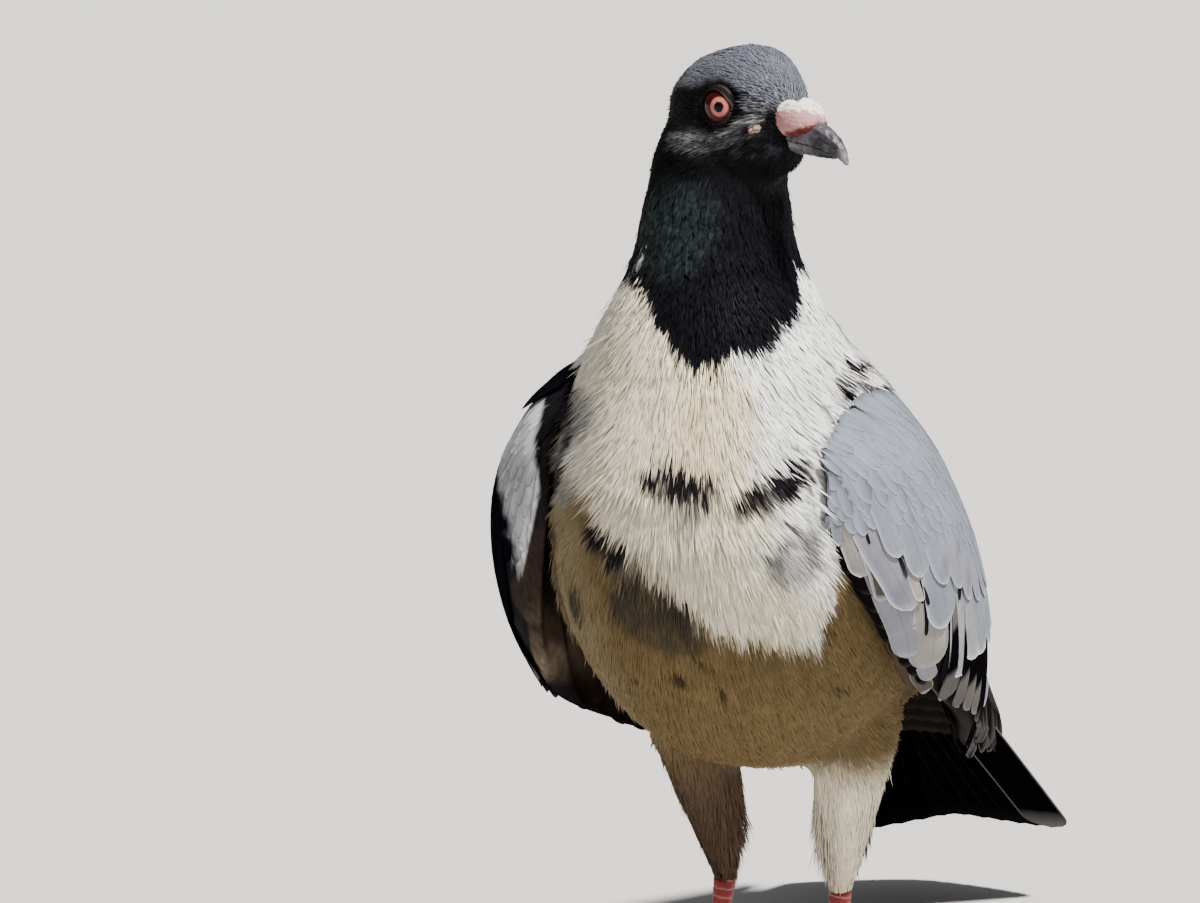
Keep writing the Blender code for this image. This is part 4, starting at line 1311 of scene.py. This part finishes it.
def tipRow(side, kind, start, end, angles, level, source, count=None, wander=0.7):
    # quills whose tips lie evenly from start to end on the wing's face
    step = wingRows[kind][quillColumns.index("step")]
    count = count or max(int(round(math.dist(start, end) / step)), 1)
    quills = []
    for i in range(count):
        t = (i + 0.5) / count
        a = start[0] + (end[0] - start[0]) * t + wander * source.normal()
        b = start[1] + (end[1] - start[1]) * t + wander * source.normal()
        angle = angles[0] + (angles[1] - angles[0]) * t + 1.5 * source.normal()
        quills.append(quill(side, kind, a, b, angle, level, source))
    return quills


def sheetEdge(sheet, y, where):
    low = np.interp(y, sheet["y"], sheet["low"])
    return low if where == "low" else low + np.interp(y, sheet["y"], sheet["length"])


def wingQuills(side, sheet, source):
    front = sheet["y"][0]
    flight, coverts, small = [], [], []

    def low(y):
        return sheetEdge(sheet, y, "low")

    def high(y):
        return sheetEdge(sheet, y, "high")

    # hand feathers, from the lowest up
    for i in range(9):
        flight.append(quill(side, "primary", 131 - 8.0 * i, 46.5 + 2.2 * i, 23 + 0.4 * i, i * 0.5, source))
    for i, y in enumerate((84, 74, 64, 55, 46, 37, 29, 21, 13, 6, -1, -8, -14, -21.5)):
        drop = np.interp(y, (-22, 0, 20, 50, 80), (1.0, 3.0, 2.5, 0.5, -0.6))
        angle = np.interp(y, (-22, -5, 20, 50, 84), (63, 68, 56, 40, 27))
        scale = np.interp(y, (-22, 0, 84), (0.55, 0.85, 1.2))
        tone = "wingTip" if y < 4 else "quill"
        level = 1.6 + 0.15 * i
        flight.append(quill(side, "secondary", y, low(y) + drop, angle, level, source, 50, None, tone, scale))
    for i in range(6):
        y = 92 - 9.5 * i
        b = low(y) + 17 + 8.5 * i
        flight.append(quill(side, "tertial", y, b, 28 + 0.6 * i, 4.2 + 0.7 * i, source, scale=1 - 0.03 * i))
    # black feathers of the hand along the lower front edge, under the large pale ones
    for k in range(9 if side == "left" else 0):
        y = -65 + 3.9 * k
        coverts.append(quill(side, "handCovert", y + 1.0, low(y) - 2.2, 50, 1.5 + 0.2 * k, source))
    for kind, feathers in frontFeathers if side == "left" else ():
        for y, b, angle, length, half, level, tone in feathers:
            coverts.append(quill(side, kind, y, b, angle, level, source, length, half, tone))
    for kind, start, end, angles, level in rearRows[side]:
        coverts += tipRow(side, kind, start, end, angles, level, source, count=10)
    level = 9.6 if side == "left" else 1.2
    for k in range(28):
        b = 122.5 + 2.9 * k
        if side == "left":
            start = np.interp(b, (122, 128, 133, 150, 175, 200), (-26, -52, -75, -77, -75, -64))
        else:
            start = lineAt(rimLine, b) + 1.2 if b < 160 else -64
        end = np.interp(b, (125, 200), (46, 10))
        slope = np.interp(b, (110, 130, 150), (58, 70, 74))
        wander = 1.5 if side == "left" else 0.5
        small += tipRow(side, "lesser", (start, b), (end, b - 2), (slope, 40), level, source, wander=wander)
        level += 0.10
    # shoulder feathers over the wing's upper edge
    for k in range(3):
        for i in range(9):
            y = -38 + 13 * i + 4 * k
            if (6 if side == "left" else -40) < y < 74:
                level = 13 + 0.8 * k - 0.35 * i
                b = high(y) - 15 + 6.5 * k + 0.06 * y
                flight.append(quill(side, "scapular", y, b, 30, level, source))

    def kept(quills):
        for q in quills:
            # no root lies ahead of the wing or over its upper edge
            turn = math.radians(q["angle"])
            tipA = q["a"] + math.cos(turn) * q["length"]
            tipB = q["b"] - math.sin(turn) * q["length"]
            if tipB > high(tipA) - 5 or tipA < front - 2:
                continue
            while q["length"] > 5 and (q["a"] < front + 0.5 or q["b"] > high(q["a"]) + 1):
                q["a"] += math.cos(turn)
                q["b"] -= math.sin(turn)
                q["length"] -= 1
            yield q

    return list(kept(flight)), list(kept(coverts)), list(kept(small))


def wingShade(side):
    # marks that run across several feathers: faint darker clouds on the left wing, painted light and shade on
    # the right one
    def shade(tone, a, b):
        if side == "left":
            for middle in smudges:
                near = np.exp(-(((a - middle[0]) / 1.8) ** 2 + ((b - middle[1]) / 4.0) ** 2))
                tone = mix(tone, tones["smudge"], 0.45 * near)
            return tone
        return np.where(tone[:, :1] > 0.5, rightWingLitAndShaded(a, b) * tone, tone)

    return shade


def shellShade(side):
    # the wing beneath: dark low down on the left one, its dark inner webs with painted shade in the gaps
    # between feathers, and on the right one its painted light and shade, brown painted shade ahead of the rim
    def shade(tone, a, b):
        if side == "left":
            return mix(np.array(tones["wingSlitWebAndShade"]) + 0 * tone, tone, smoothStep(b, 122, 128))
        return rightWingLitAndShaded(a - 0.8, b)

    return shade


def underShade(tone, a, b):
    # the inner face, painted in shade: purple-brown above, a paler stretch low in front, black along the far
    # edge
    wobble = 1.2 * np.sin(a * 0.5 + 0.3 * b)
    colour = mix(tones["innerTop"], tones["innerLow"], smoothStep(-b + wobble, -112, -100))
    pale = smoothStep(-b + wobble, -97, -92) * smoothStep(b, 82, 88) * smoothStep(-a, 8, 20)
    colour = mix(colour, tones["innerPale"], pale)
    dark = smoothStep(-b + wobble, -86, -78)
    colour = mix(colour, tones["innerEdge"], dark)
    spot = np.exp(-(((a + 43) / 2.0) ** 2 + ((b - 102) / 2.2) ** 2))
    colour = mix(colour, tones["innerSpot"], spot)
    return colour if tone is None else colour * (0.85 + 0.15 * np.asarray(tone)[:, :1] / 0.012)


def wingShell(name, sheet, finish, replaced, base, shade):
    # the wing under its feathers: the outer and inner face, closed all round
    backs = denser(sheet["y"], 2, 0)
    outer, inner = (denser(denser(sheet[face], 3, 1), 2, 0) for face in ("outer", "inner"))
    ring = np.concatenate([outer, inner[:, ::-1]], 1)
    rows, sides = ring.shape[:2]
    index = np.arange(rows * sides).reshape(rows, sides)
    half = outer.shape[1]
    ends = []
    for row in (index[0], index[-1]):
        other = row[::-1]
        ends.append(np.stack([row[: half - 1], row[1:half], other[1:half], other[: half - 1]], -1))
    mesh = buildMesh(name, worldOf(ring.reshape(-1, 3)), [ringFaces(index), *ends], finish)
    fixNormals(mesh)
    flatA = np.repeat(backs, sides)
    length = denser(sheet["length"], 2, 0)[:, None]
    height = denser(sheet["low"], 2, 0)[:, None] + length * (1 - np.linspace(0, 1, half)[None])
    flatB = np.concatenate([height, height[:, ::-1]], 1).ravel()
    own = np.repeat(np.array(base)[None], len(flatA), 0)
    onOuter = np.tile(np.arange(sides) < half, rows)
    colours = np.where(onOuter[:, None], shade(own, flatA, flatB), underShade(own * 0 + 0.012, flatA, flatB))
    putColour(mesh, "tone", np.clip(colours, 0.001, 1))
    return finishPiece(addPiece(name, mesh), replaced)


underside = grainFinish(
    "wing beneath its feathers", 0.75, 0.03, (1.0, 3, (900, 300, 300)), (0.35, 0.65, 0.7, 1.15),
    (0.3, 0.0003))
greyVanes = vaneFinish("grey vanes", tones["greyEdge"], 0.4, 0.88)
flightVanes = vaneFinish("flight vanes", tones["flightEdge"], 0.5, 0.91)


def makeWing(side):
    source = np.random.default_rng(40 if side == "left" else 41)
    sheet = readWing(side)
    shade = wingShade(side)
    # the right wing's shell under its feathers is painted in shade
    base = tones["wing"] if side == "left" else tones["rightWingShade"]
    replaced = (f"wing_{side}", f"primaries_{side}")
    wingShell(f"wingShell_{side}", sheet, underside, replaced, base, shellShade(side))
    flight, coverts, small = wingQuills(side, sheet, source)
    surface = wingSurface(sheet, side)
    layVanes(f"flightFeathers_{side}", surface, flight, flightVanes, 22, 8, shade)
    layVanes(f"coverts_{side}", surface, coverts, greyVanes, 12, 6, shade)
    layVanes(f"smallCoverts_{side}", surface, small, greyVanes, 7, 2, shade, pinch=0.6)
    # the inner face shows the same flight feathers from beneath
    inner = wingSurface(sheet, side, "inner")
    below = []
    for i in range(8):
        y = 84 - 11 * i
        angle = np.interp(y, (-25, 20, 80), (62, 44, 27))
        below.append(quill(side, "under", y, sheetEdge(sheet, y, "low") - 0.2, angle, 0.5 + 0.2 * i, source))
    layVanes(f"innerVanes_{side}", inner, below, flightVanes, 12, 4, underShade)


for side in ("left", "right"):
    makeWing(side)


# tail: twelve feathers fanned from the root
tailPlan = {
    "drop": 41, "root": (0, 92, 76), "length": 88, "rootHalf": 14, "endHalf": 32,
    "swing": 1.8, "arch": 7.5, "roll": 2.7, "half": 8.2, "coverLength": 34, "coverHalf": 5.2,
}


def tailSurface():
    drop = math.radians(tailPlan["drop"])
    along = unit(np.array([math.sin(math.radians(tailPlan["swing"])), math.cos(drop), -math.sin(drop)]))
    normal = unit(np.cross(np.array([1.0, 0, 0]), along))
    across = np.cross(along, normal)

    def surface(a, b):
        share = a / tailPlan["length"]
        wide = tailPlan["rootHalf"] + (tailPlan["endHalf"] - tailPlan["rootHalf"]) * share
        out = b / np.maximum(wide, 5)
        depth = -(tailPlan["arch"] * np.abs(out) ** 1.3 - tailPlan["roll"] * out) * np.clip(share, 0, 1.1)
        place = np.array(tailPlan["root"]) + along * a[..., None] + across * b[..., None]
        return place + normal * depth[..., None], np.broadcast_to(normal, place.shape)

    return surface


def makeTail():
    source = np.random.default_rng(50)
    upper = []
    for i in range(12):
        u = (i - 5.5) / 5.5
        order = 6 - abs(i - 5.5)
        fan = u * (tailPlan["endHalf"] - tailPlan["rootHalf"] + 1)
        angle = -math.degrees(math.atan2(fan, tailPlan["length"]))
        outer = abs(u) > 0.95
        # the tail feathers' grey painted in deep shade
        tone = np.array(tones["tail"]) * (1 + 0.15 * source.normal())
        upper.append({
            "a": 0, "b": u * (tailPlan["rootHalf"] - 6), "angle": angle * 1.25,
            "length": tailPlan["length"] - 2.5 * u * u, "half": tailPlan["half"] * (0.85 if outer else 1),
            "lift": 0.2 + 0.28 * order, "rise": 0.2, "roll": 0.0, "camber": 0.02, "bend": -0.02 * u,
            "tip": 0.75, "tone": tone, "mark": (1.0 if outer else 0.04, 0, 0.2),
        })
    surface = tailSurface()
    layVanes("tailFeathers", surface, upper, flightVanes, 24, 8,
             thick=0.5, replaced=("tail",))
    coverts = []
    for row in range(4):
        for i in range(9 - row):
            u = (i + 0.5) / (9 - row) * 2 - 1
            for sign in (1, -1):
                # pale above the tail, dark and further from it below, that dark painted shade over the
                # coverts' greyish brown
                pale = sign > 0
                tone = np.array(tones["rump" if pale else "ventInShade"]) * (1 + 0.06 * source.normal())
                coverts.append({
                    "a": 2 - 7 * row, "b": u * 11, "angle": -9 * u, "length": tailPlan["coverLength"],
                    "half": tailPlan["coverHalf"], "lift": sign * (2.2 + 0.8 * row) - (0 if pale else 0.8),
                    "rise": 0.3 * sign, "roll": 0, "camber": 0.05 * sign, "bend": 0, "tip": 1.1, "tone": tone,
                    "mark": (0.3 if pale else 0.03, 0, 0),
                })
    layVanes("tailCoverts", surface, coverts, greyVanes, 8, 4)


makeTail()


# bare parts, drawn finer from the solids
cerePlan = {
    # place, half sizes, tilt: two swollen lobes over the bill's root, with skin below them
    "lobes": (((2.5, -18.9, -0.9), (3.7, 5.6, 4.3), 24), ((1.6, -22.6, -2.2), (2.6, 3.0, 2.9), 30)),
    # the bare fold at each corner of the mouth: back, up, size
    "gape": ((-13.4, -3.0, 1.0), (-12.2, -3.6, 0.8)),
    "voxel": 0.2, "passes": 8,
}
# how far the thin solids are swelled before they are drawn finer
fineGrow = 0.12
bareTones = {
    "horn": (0.011, 0.010, 0.016),
    "hornPale": (0.23, 0.21, 0.24),
    "cere": (0.42, 0.215, 0.215),
    "powder": (0.95, 0.90, 0.80),
    "cereLow": (0.095, 0.010, 0.014),
    "cereCrack": (0.36, 0.20, 0.18),
    "gape": (0.20, 0.13, 0.105),
    "gapePale": (0.42, 0.29, 0.235),
    "pupil": (0.003, 0.002, 0.003),
    # the pale inner ring of the iris, its pink partly a painted glint; the iris's red darkened with painted
    # shade
    "ring": (0.46, 0.135, 0.120),
    "iris": (0.036, 0.003, 0.003),
    "eyeRim": (0.02, 0.008, 0.008),
    "lid": (0.009, 0.007, 0.008),
    "lidPale": (0.16, 0.125, 0.092),
    "leg": (0.42, 0.055, 0.050),
    "legDark": (0.26, 0.030, 0.030),
    "groove": (0.62, 0.40, 0.36),
    "claw": (0.035, 0.030, 0.032),
    "clawTip": (0.16, 0.13, 0.12),
}


def dress(obj, points, colour, finish, replaced):
    putPoints(obj, points)
    putColour(obj.data, "tone", colour)
    obj.data.materials.append(finish)
    finishPiece(obj, replaced)


def addLobe(bm, place, shape, detail):
    matrix = Matrix.Translation(place) @ shape.to_4x4()
    bmesh.ops.create_icosphere(bm, subdivisions=detail, radius=1, matrix=matrix)


def cereForm():
    bm = bmesh.new()
    for middle, sizes, tilt in cerePlan["lobes"]:
        for sign in (1, -1):
            place = headPlace(np.array(middle) * np.array([sign, 1, 1]))
            turn = Matrix(headAxes.T.tolist()) @ Matrix.Rotation(math.radians(tilt), 3, "X")
            shape = turn @ Matrix.Diagonal(Vector(sizes) * mm)
            addLobe(bm, place, shape, 4)
    for sign in (1, -1):
        for back, up, size in cerePlan["gape"]:
            start = headPlace(np.array([sign * 20.0, back, up]))
            way = Vector(headAxes.T @ np.array([-sign, 0, 0]))
            hit = skinTree.ray_cast(Vector(start), way)[0] - way * 0.8 * mm
            shape = Matrix.Diagonal(Vector((size, size * 1.2, size))) * mm
            addLobe(bm, hit, shape, 3)
    return evenForm("cereSkin", bm, cerePlan["voxel"], cerePlan["passes"])


def makeBill():
    horn = skinLike("bill horn", 0.42, 0.4, 900, 0.35, (0.7, 1.25))
    for name, node in (("billUpper", "bill_upper"), ("billLower", "bill_lower")):
        obj, points, normals = evenForm(name, joinedNodes((node,)), 0.22, 8, fineGrow)
        h = headLocal(points)
        scuff = valueNoise(points, 0.7, 60) * 0.5 + valueNoise(points, 0.3, 61) * 0.5
        streak = valueNoise(headPlace(h * np.array([1, 0.25, 1.6])), 0.6, 68)
        share = 0.16 * smoothStep(scuff + streak, 0.0, 1.6) + 0.6 * smoothStep(-h[:, 1], 31.8, 34)
        share = share + 0.3 * smoothStep(-h[:, 1], 27, 23.5)
        if node == "bill_upper":
            # paler along the top of the upper bill: a painted highlight where light falls on the ridge
            ridge = smoothStep(normals[:, 2], 0.2, 0.9) * smoothStep(-h[:, 1], 22, 28)
            share = share + 0.25 * ridge
        else:
            share = share + 0.45 * smoothStep(h[:, 2], -8.2, -6.6) * smoothStep(-h[:, 1], 26, 14)
        colour = mix(bareTones["horn"], bareTones["hornPale"], np.clip(share, 0, 1))
        points = points + normals * (0.10 * scuff * mm)[:, None]
        dress(obj, points, colour, horn, (node,))
    obj, points, normals = cereForm()
    h = headLocal(points)
    grain = valueNoise(points, 0.55, 62) * 0.6 + valueNoise(points, 0.25, 63) * 0.5
    powder = smoothStep(h[:, 2] + 0.4 * h[:, 1] + 7.6 + 1.6 * grain + 0.5 * h[:, 0], -2.0, 1.4)
    colour = mix(bareTones["cere"], bareTones["powder"], powder)
    low = smoothStep(-h[:, 2] - 0.4 * h[:, 1] + 0.3 * grain, 11.3, 12.2)
    colour = mix(colour, bareTones["cereLow"], low)
    gape = h[:, 1] > -15.5
    fold = smoothStep(grain[gape], -0.5, 0.5)
    colour[gape] = mix(bareTones["gape"], bareTones["gapePale"], fold)
    crack = smoothStep(np.abs(valueNoise(points, 0.8, 64)), 0.10, 0.02) * 0.35
    colour = mix(colour, bareTones["cereCrack"], crack)
    points = points + normals * ((0.09 * grain - 0.12 * crack) * mm)[:, None]
    cereSkin = skinLike("cere skin", 0.7, 0.25, 2200, 0.6, (0.82, 1.12))
    dress(obj, points, colour, cereSkin, ("cere",))


makeBill()
report("bill and cere")


# eyes: a ball with pupil, ring and iris, and a collar of bare skin
def makeBall(side, sign, centre, finish):
    # rings of points out from the middle of the pupil to the back of the ball
    gaze = math.radians(eyePlan["forward"])
    axis = unit(np.array([sign * math.cos(gaze), -math.sin(gaze), 0.03]))
    level = unit(np.cross(np.array([0, 0, 1.0]), axis))
    upright = np.cross(axis, level)
    rings, sides = eyePlan["rings"], eyePlan["sides"]
    rays = np.random.default_rng(70).normal(size=sides)
    rays = (rays + np.roll(rays, 1) + np.roll(rays, -1)) / 3
    off = np.concatenate([[0], np.repeat(np.linspace(0, math.pi, rings + 1)[1:-1], sides), [math.pi]])
    turn = np.concatenate([[0], np.tile(np.arange(sides) * 2 * math.pi / sides, rings - 1), [0]])[:, None]
    ray = np.concatenate([rays[:1], np.tile(rays, rings - 1), rays[:1]])
    way = axis * np.cos(off)[:, None] + (level * np.cos(turn) + upright * np.sin(turn)) * np.sin(off)[:, None]
    bulge = 1 + 0.03 * np.exp(-(np.degrees(off) / 30) ** 2)
    points = centre + way * (eyePlan["radius"] * bulge)[:, None]
    degrees = np.degrees(off) + 0.5 * ray
    # a pale ring round the pupil, pink partly from a painted glint, and the iris's red darkened with painted
    # shade
    ring = smoothStep(degrees, eyePlan["pupil"] - 0.8, eyePlan["pupil"] + 0.8)
    colours = mix(bareTones["pupil"], bareTones["ring"], ring)
    iris = smoothStep(degrees, eyePlan["ring"] - 2, eyePlan["ring"] + 3)
    colours = mix(colours, bareTones["iris"], iris)
    colours = colours * (1 + 0.10 * ray * ring)[:, None]
    rim = smoothStep(degrees, eyePlan["iris"] - 5, eyePlan["iris"] + 2)
    colours = mix(colours, bareTones["eyeRim"], rim)
    index = 1 + np.arange((rings - 1) * sides).reshape(rings - 1, sides)
    ends = []
    for row, pole in ((index[0], 0), (index[-1], len(points) - 1)):
        ends.append(np.stack([row, np.roll(row, -1), np.full(sides, pole)], -1))
    mesh = buildMesh(f"eyeBall_{side}", headPlace(points), [ringFaces(index), *ends], finish)
    fixNormals(mesh)
    putColour(mesh, "tone", np.clip(colours, 0.002, 1))
    finishPiece(addPiece(f"eyeBall_{side}", mesh), (f"eye_{side}",))


def makeLids(side, sign, centre, finish):
    # a wrinkled collar round the eye, from the ball's edge out under the feathers
    source = np.random.default_rng(71)
    folds = [(source.integers(3, 9), source.random() * 6.28, source.random() * 6.28) for _ in range(4)]
    rings, sides = eyePlan["lidRings"], eyePlan["sides"]
    t, turn = np.meshgrid(np.linspace(0, 1, rings + 1), np.arange(sides) * 2 * math.pi / sides, indexing="ij")
    fold = sum(np.sin(n * turn + p + 9 * t + 1.5 * np.sin(q + turn)) for n, p, q in folds) / 4
    wave = np.sin(t * 17 + 2.0 * np.sin(turn + 0.7)) * 0.5 + 0.5
    radius = eyePlan["opening"] + (eyePlan["lidReach"] - eyePlan["opening"]) * t
    corner = 0.55 * np.exp(-((np.cos(turn) + 1) / 0.12)) * (1 - t)
    back, up = np.cos(turn) * (radius + corner), np.sin(turn) * radius * 0.98
    ball = np.sqrt(np.maximum(eyePlan["radius"] ** 2 - back**2 - up**2, 0))
    out = np.maximum(ball + 0.42 - 0.5 * t + 0.16 * wave + 0.08 * fold, 0.9 + 1.2 * (1 - t))
    places = [np.stack([sign * (out - sunk), back, up], -1).reshape(-1, 3) for sunk in (0, 0.45)]
    ahead = smoothStep(-np.cos(turn), -0.2, 0.7)
    pale = smoothStep(wave + 0.2 * fold, 0.84, 1.0) * (0.04 + 0.42 * ahead) * (1 - 0.7 * t)
    pale = np.maximum(pale, 0.30 * (1 - smoothStep(t, 0.0, 0.06)) * (0.15 + 0.85 * ahead))
    colours = mix(bareTones["lid"], bareTones["lidPale"], pale).reshape(-1, 3)
    index = np.arange(t.size).reshape(t.shape)
    top = ringFaces(index)
    edges = [ringFaces(np.stack([row, row + t.size])) for row in (index[0], index[-1])]
    faces = [top, top[:, ::-1] + t.size, *edges]
    mesh = buildMesh(f"eyelid_{side}", headPlace(centre + np.concatenate(places)), faces, finish)
    fixNormals(mesh)
    putColour(mesh, "tone", np.tile(colours, (2, 1)))
    finishPiece(addPiece(f"eyelid_{side}", mesh))


def makeEyes():
    made, tree, shader = newFinish("eye", 0.12, 0.10)
    tree.links.new(attributeOf(tree, "tone"), shader.inputs["Base Color"])
    lidFinish = skinLike("eyelid skin", 0.7, 0.03, 1800, 0.5)
    for side, sign in (("left", 1), ("right", -1)):
        centre = eyeLocal * np.array([sign, 1, 1])
        makeBall(side, sign, centre, made)
        makeLids(side, sign, centre, lidFinish)


makeEyes()
report("eyes")


# legs: scaled skin over the shanks and toes, horn on the claws
def makeLegs():
    skinOfLeg = skinLike("leg skin", 0.5, 0.35, 1500, 0.3)
    horn = skinLike("claw horn", 0.4, 0.4, 1200, 0.2)
    for side, sign in (("left", 1), ("right", -1)):
        bones = (f"shank_{side}", f"foot_{side}")
        obj, points, normals = evenForm(f"legSkin_{side}", joinedNodes(bones), 0.36, 5, fineGrow)
        x, y, z = birdOf(points).T
        # scutes: one above the other on the shank, in rings round the ankle on the toes
        low, high = (birdOf(corner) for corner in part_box(f"shank_{side}"))
        reach = np.hypot(x - (low[0] + high[0]) / 2, y - (low[1] + 2.2))
        onShank = smoothStep(z, 4.2, 6.5)
        frontSide = smoothStep(-normals[:, 1], -0.2, 0.5)
        scuteShank = np.abs(((z + 0.15 * x) / 2.1) % 1 - 0.5) * 2
        scuteToe = np.abs((reach / 1.7) % 1 - 0.5) * 2
        grooveShank = smoothStep(scuteShank, 0.72, 0.97) * frontSide
        small = smoothStep(np.abs(valueNoise(points, 0.55, 66)), 0.22, 0.05) * (1 - frontSide) * 0.6
        grooveToe = smoothStep(scuteToe, 0.66, 0.95) * smoothStep(normals[:, 2], -0.3, 0.4)
        pads = smoothStep(scuteToe, 0.5, 1) * smoothStep(-normals[:, 2], 0.1, 0.7) * smoothStep(z, 0.15, 0.5)
        groove = (grooveShank + small) * onShank + (grooveToe + 0.7 * pads) * (1 - onShank)
        blotch = smoothStep(valueNoise(points, 2.2, 67), -0.5, 0.8)
        colour = mix(bareTones["leg"], bareTones["legDark"], blotch)
        colour = mix(colour, bareTones["groove"], np.clip(groove, 0, 1) * 0.75)
        points = points + normals * ((0.05 - 0.20 * groove) * mm)[:, None]
        points[:, 2] = np.maximum(points[:, 2], 0.0)
        dress(obj, points, colour, skinOfLeg, bones)
        claws = [f"claw_{side}_{toe}" for toe in ("inner", "middle", "outer", "hind")]
        obj, points, normals = evenForm(f"clawHorn_{side}", joinedNodes(claws), 0.2, 4, fineGrow)
        tip = smoothStep(1.4 - birdOf(points)[:, 2], 0, 1.0)
        points[:, 2] = np.maximum(points[:, 2], 0.0)
        colour = mix(bareTones["claw"], bareTones["clawTip"], tip)
        dress(obj, points, colour, horn, claws)


makeLegs()
report("legs")


# floor, light and camera
stagePlan = {"floor": 12.0, "sun": 9.6, "spread": 6, "world": 0.22}


def makeStage():
    bpy.ops.mesh.primitive_grid_add(x_subdivisions=4, y_subdivisions=4, size=2 * stagePlan["floor"])
    floor = bpy.context.active_object
    floor.name = "floor"
    made, tree, shader = newFinish("pale floor", 0.85, 0.15)
    fine = noiseOn(tree, placeOn(tree), 90, 3)
    tone = mixNode(tree, fine, (0.60, 0.585, 0.56, 1), (0.64, 0.63, 0.61, 1))
    tree.links.new(tone, shader.inputs["Base Color"])
    floor.data.materials.append(made)
    world = bpy.data.worlds.new("studio")
    bpy.context.scene.world = world
    world.use_nodes = True
    sky = world.node_tree.nodes["Background"].inputs
    sky["Color"].default_value = (0.86, 0.89, 0.94, 1)
    sky["Strength"].default_value = stagePlan["world"]


cameraPlan = {"azimuth": 17.5, "elevation": 9.0, "distance": 2.0, "target": (-39.3, -20, 142), "lens": 246.0}


def makeCamera():
    target = Vector(worldOf(cameraPlan["target"]))
    turn = math.radians(cameraPlan["azimuth"])
    rise = math.radians(cameraPlan["elevation"])
    back = Vector((math.sin(turn) * math.cos(rise), -math.cos(turn) * math.cos(rise), math.sin(rise)))
    data = bpy.data.cameras.new("camera")
    data.sensor_width = 36
    data.lens = cameraPlan["lens"]
    data.clip_end = 60
    obj = bpy.data.objects.new("camera", data)
    obj.location = target + back * cameraPlan["distance"]
    obj.rotation_euler = (-back).to_track_quat("-Z", "Y").to_euler()
    bpy.context.scene.collection.objects.link(obj)
    bpy.context.scene.camera = obj
    right = Vector((math.cos(turn), math.sin(turn), 0))
    # one broad high light from the front, to the right of the camera
    data = bpy.data.lights.new("key", "SUN")
    data.energy = stagePlan["sun"]
    data.angle = math.radians(stagePlan["spread"])
    data.color = (1.0, 0.975, 0.93)
    key = bpy.data.objects.new("key", data)
    towards = Vector((0, 0, 0.84)) + right * 0.38 + back * 0.38
    key.rotation_euler = (-towards).to_track_quat("-Z", "Y").to_euler()
    bpy.context.scene.collection.objects.link(key)


makeStage()
makeCamera()

bpy.data.objects.remove(shortTuft)
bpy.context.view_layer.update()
report(f"done: {coatCount} triangles of coat")
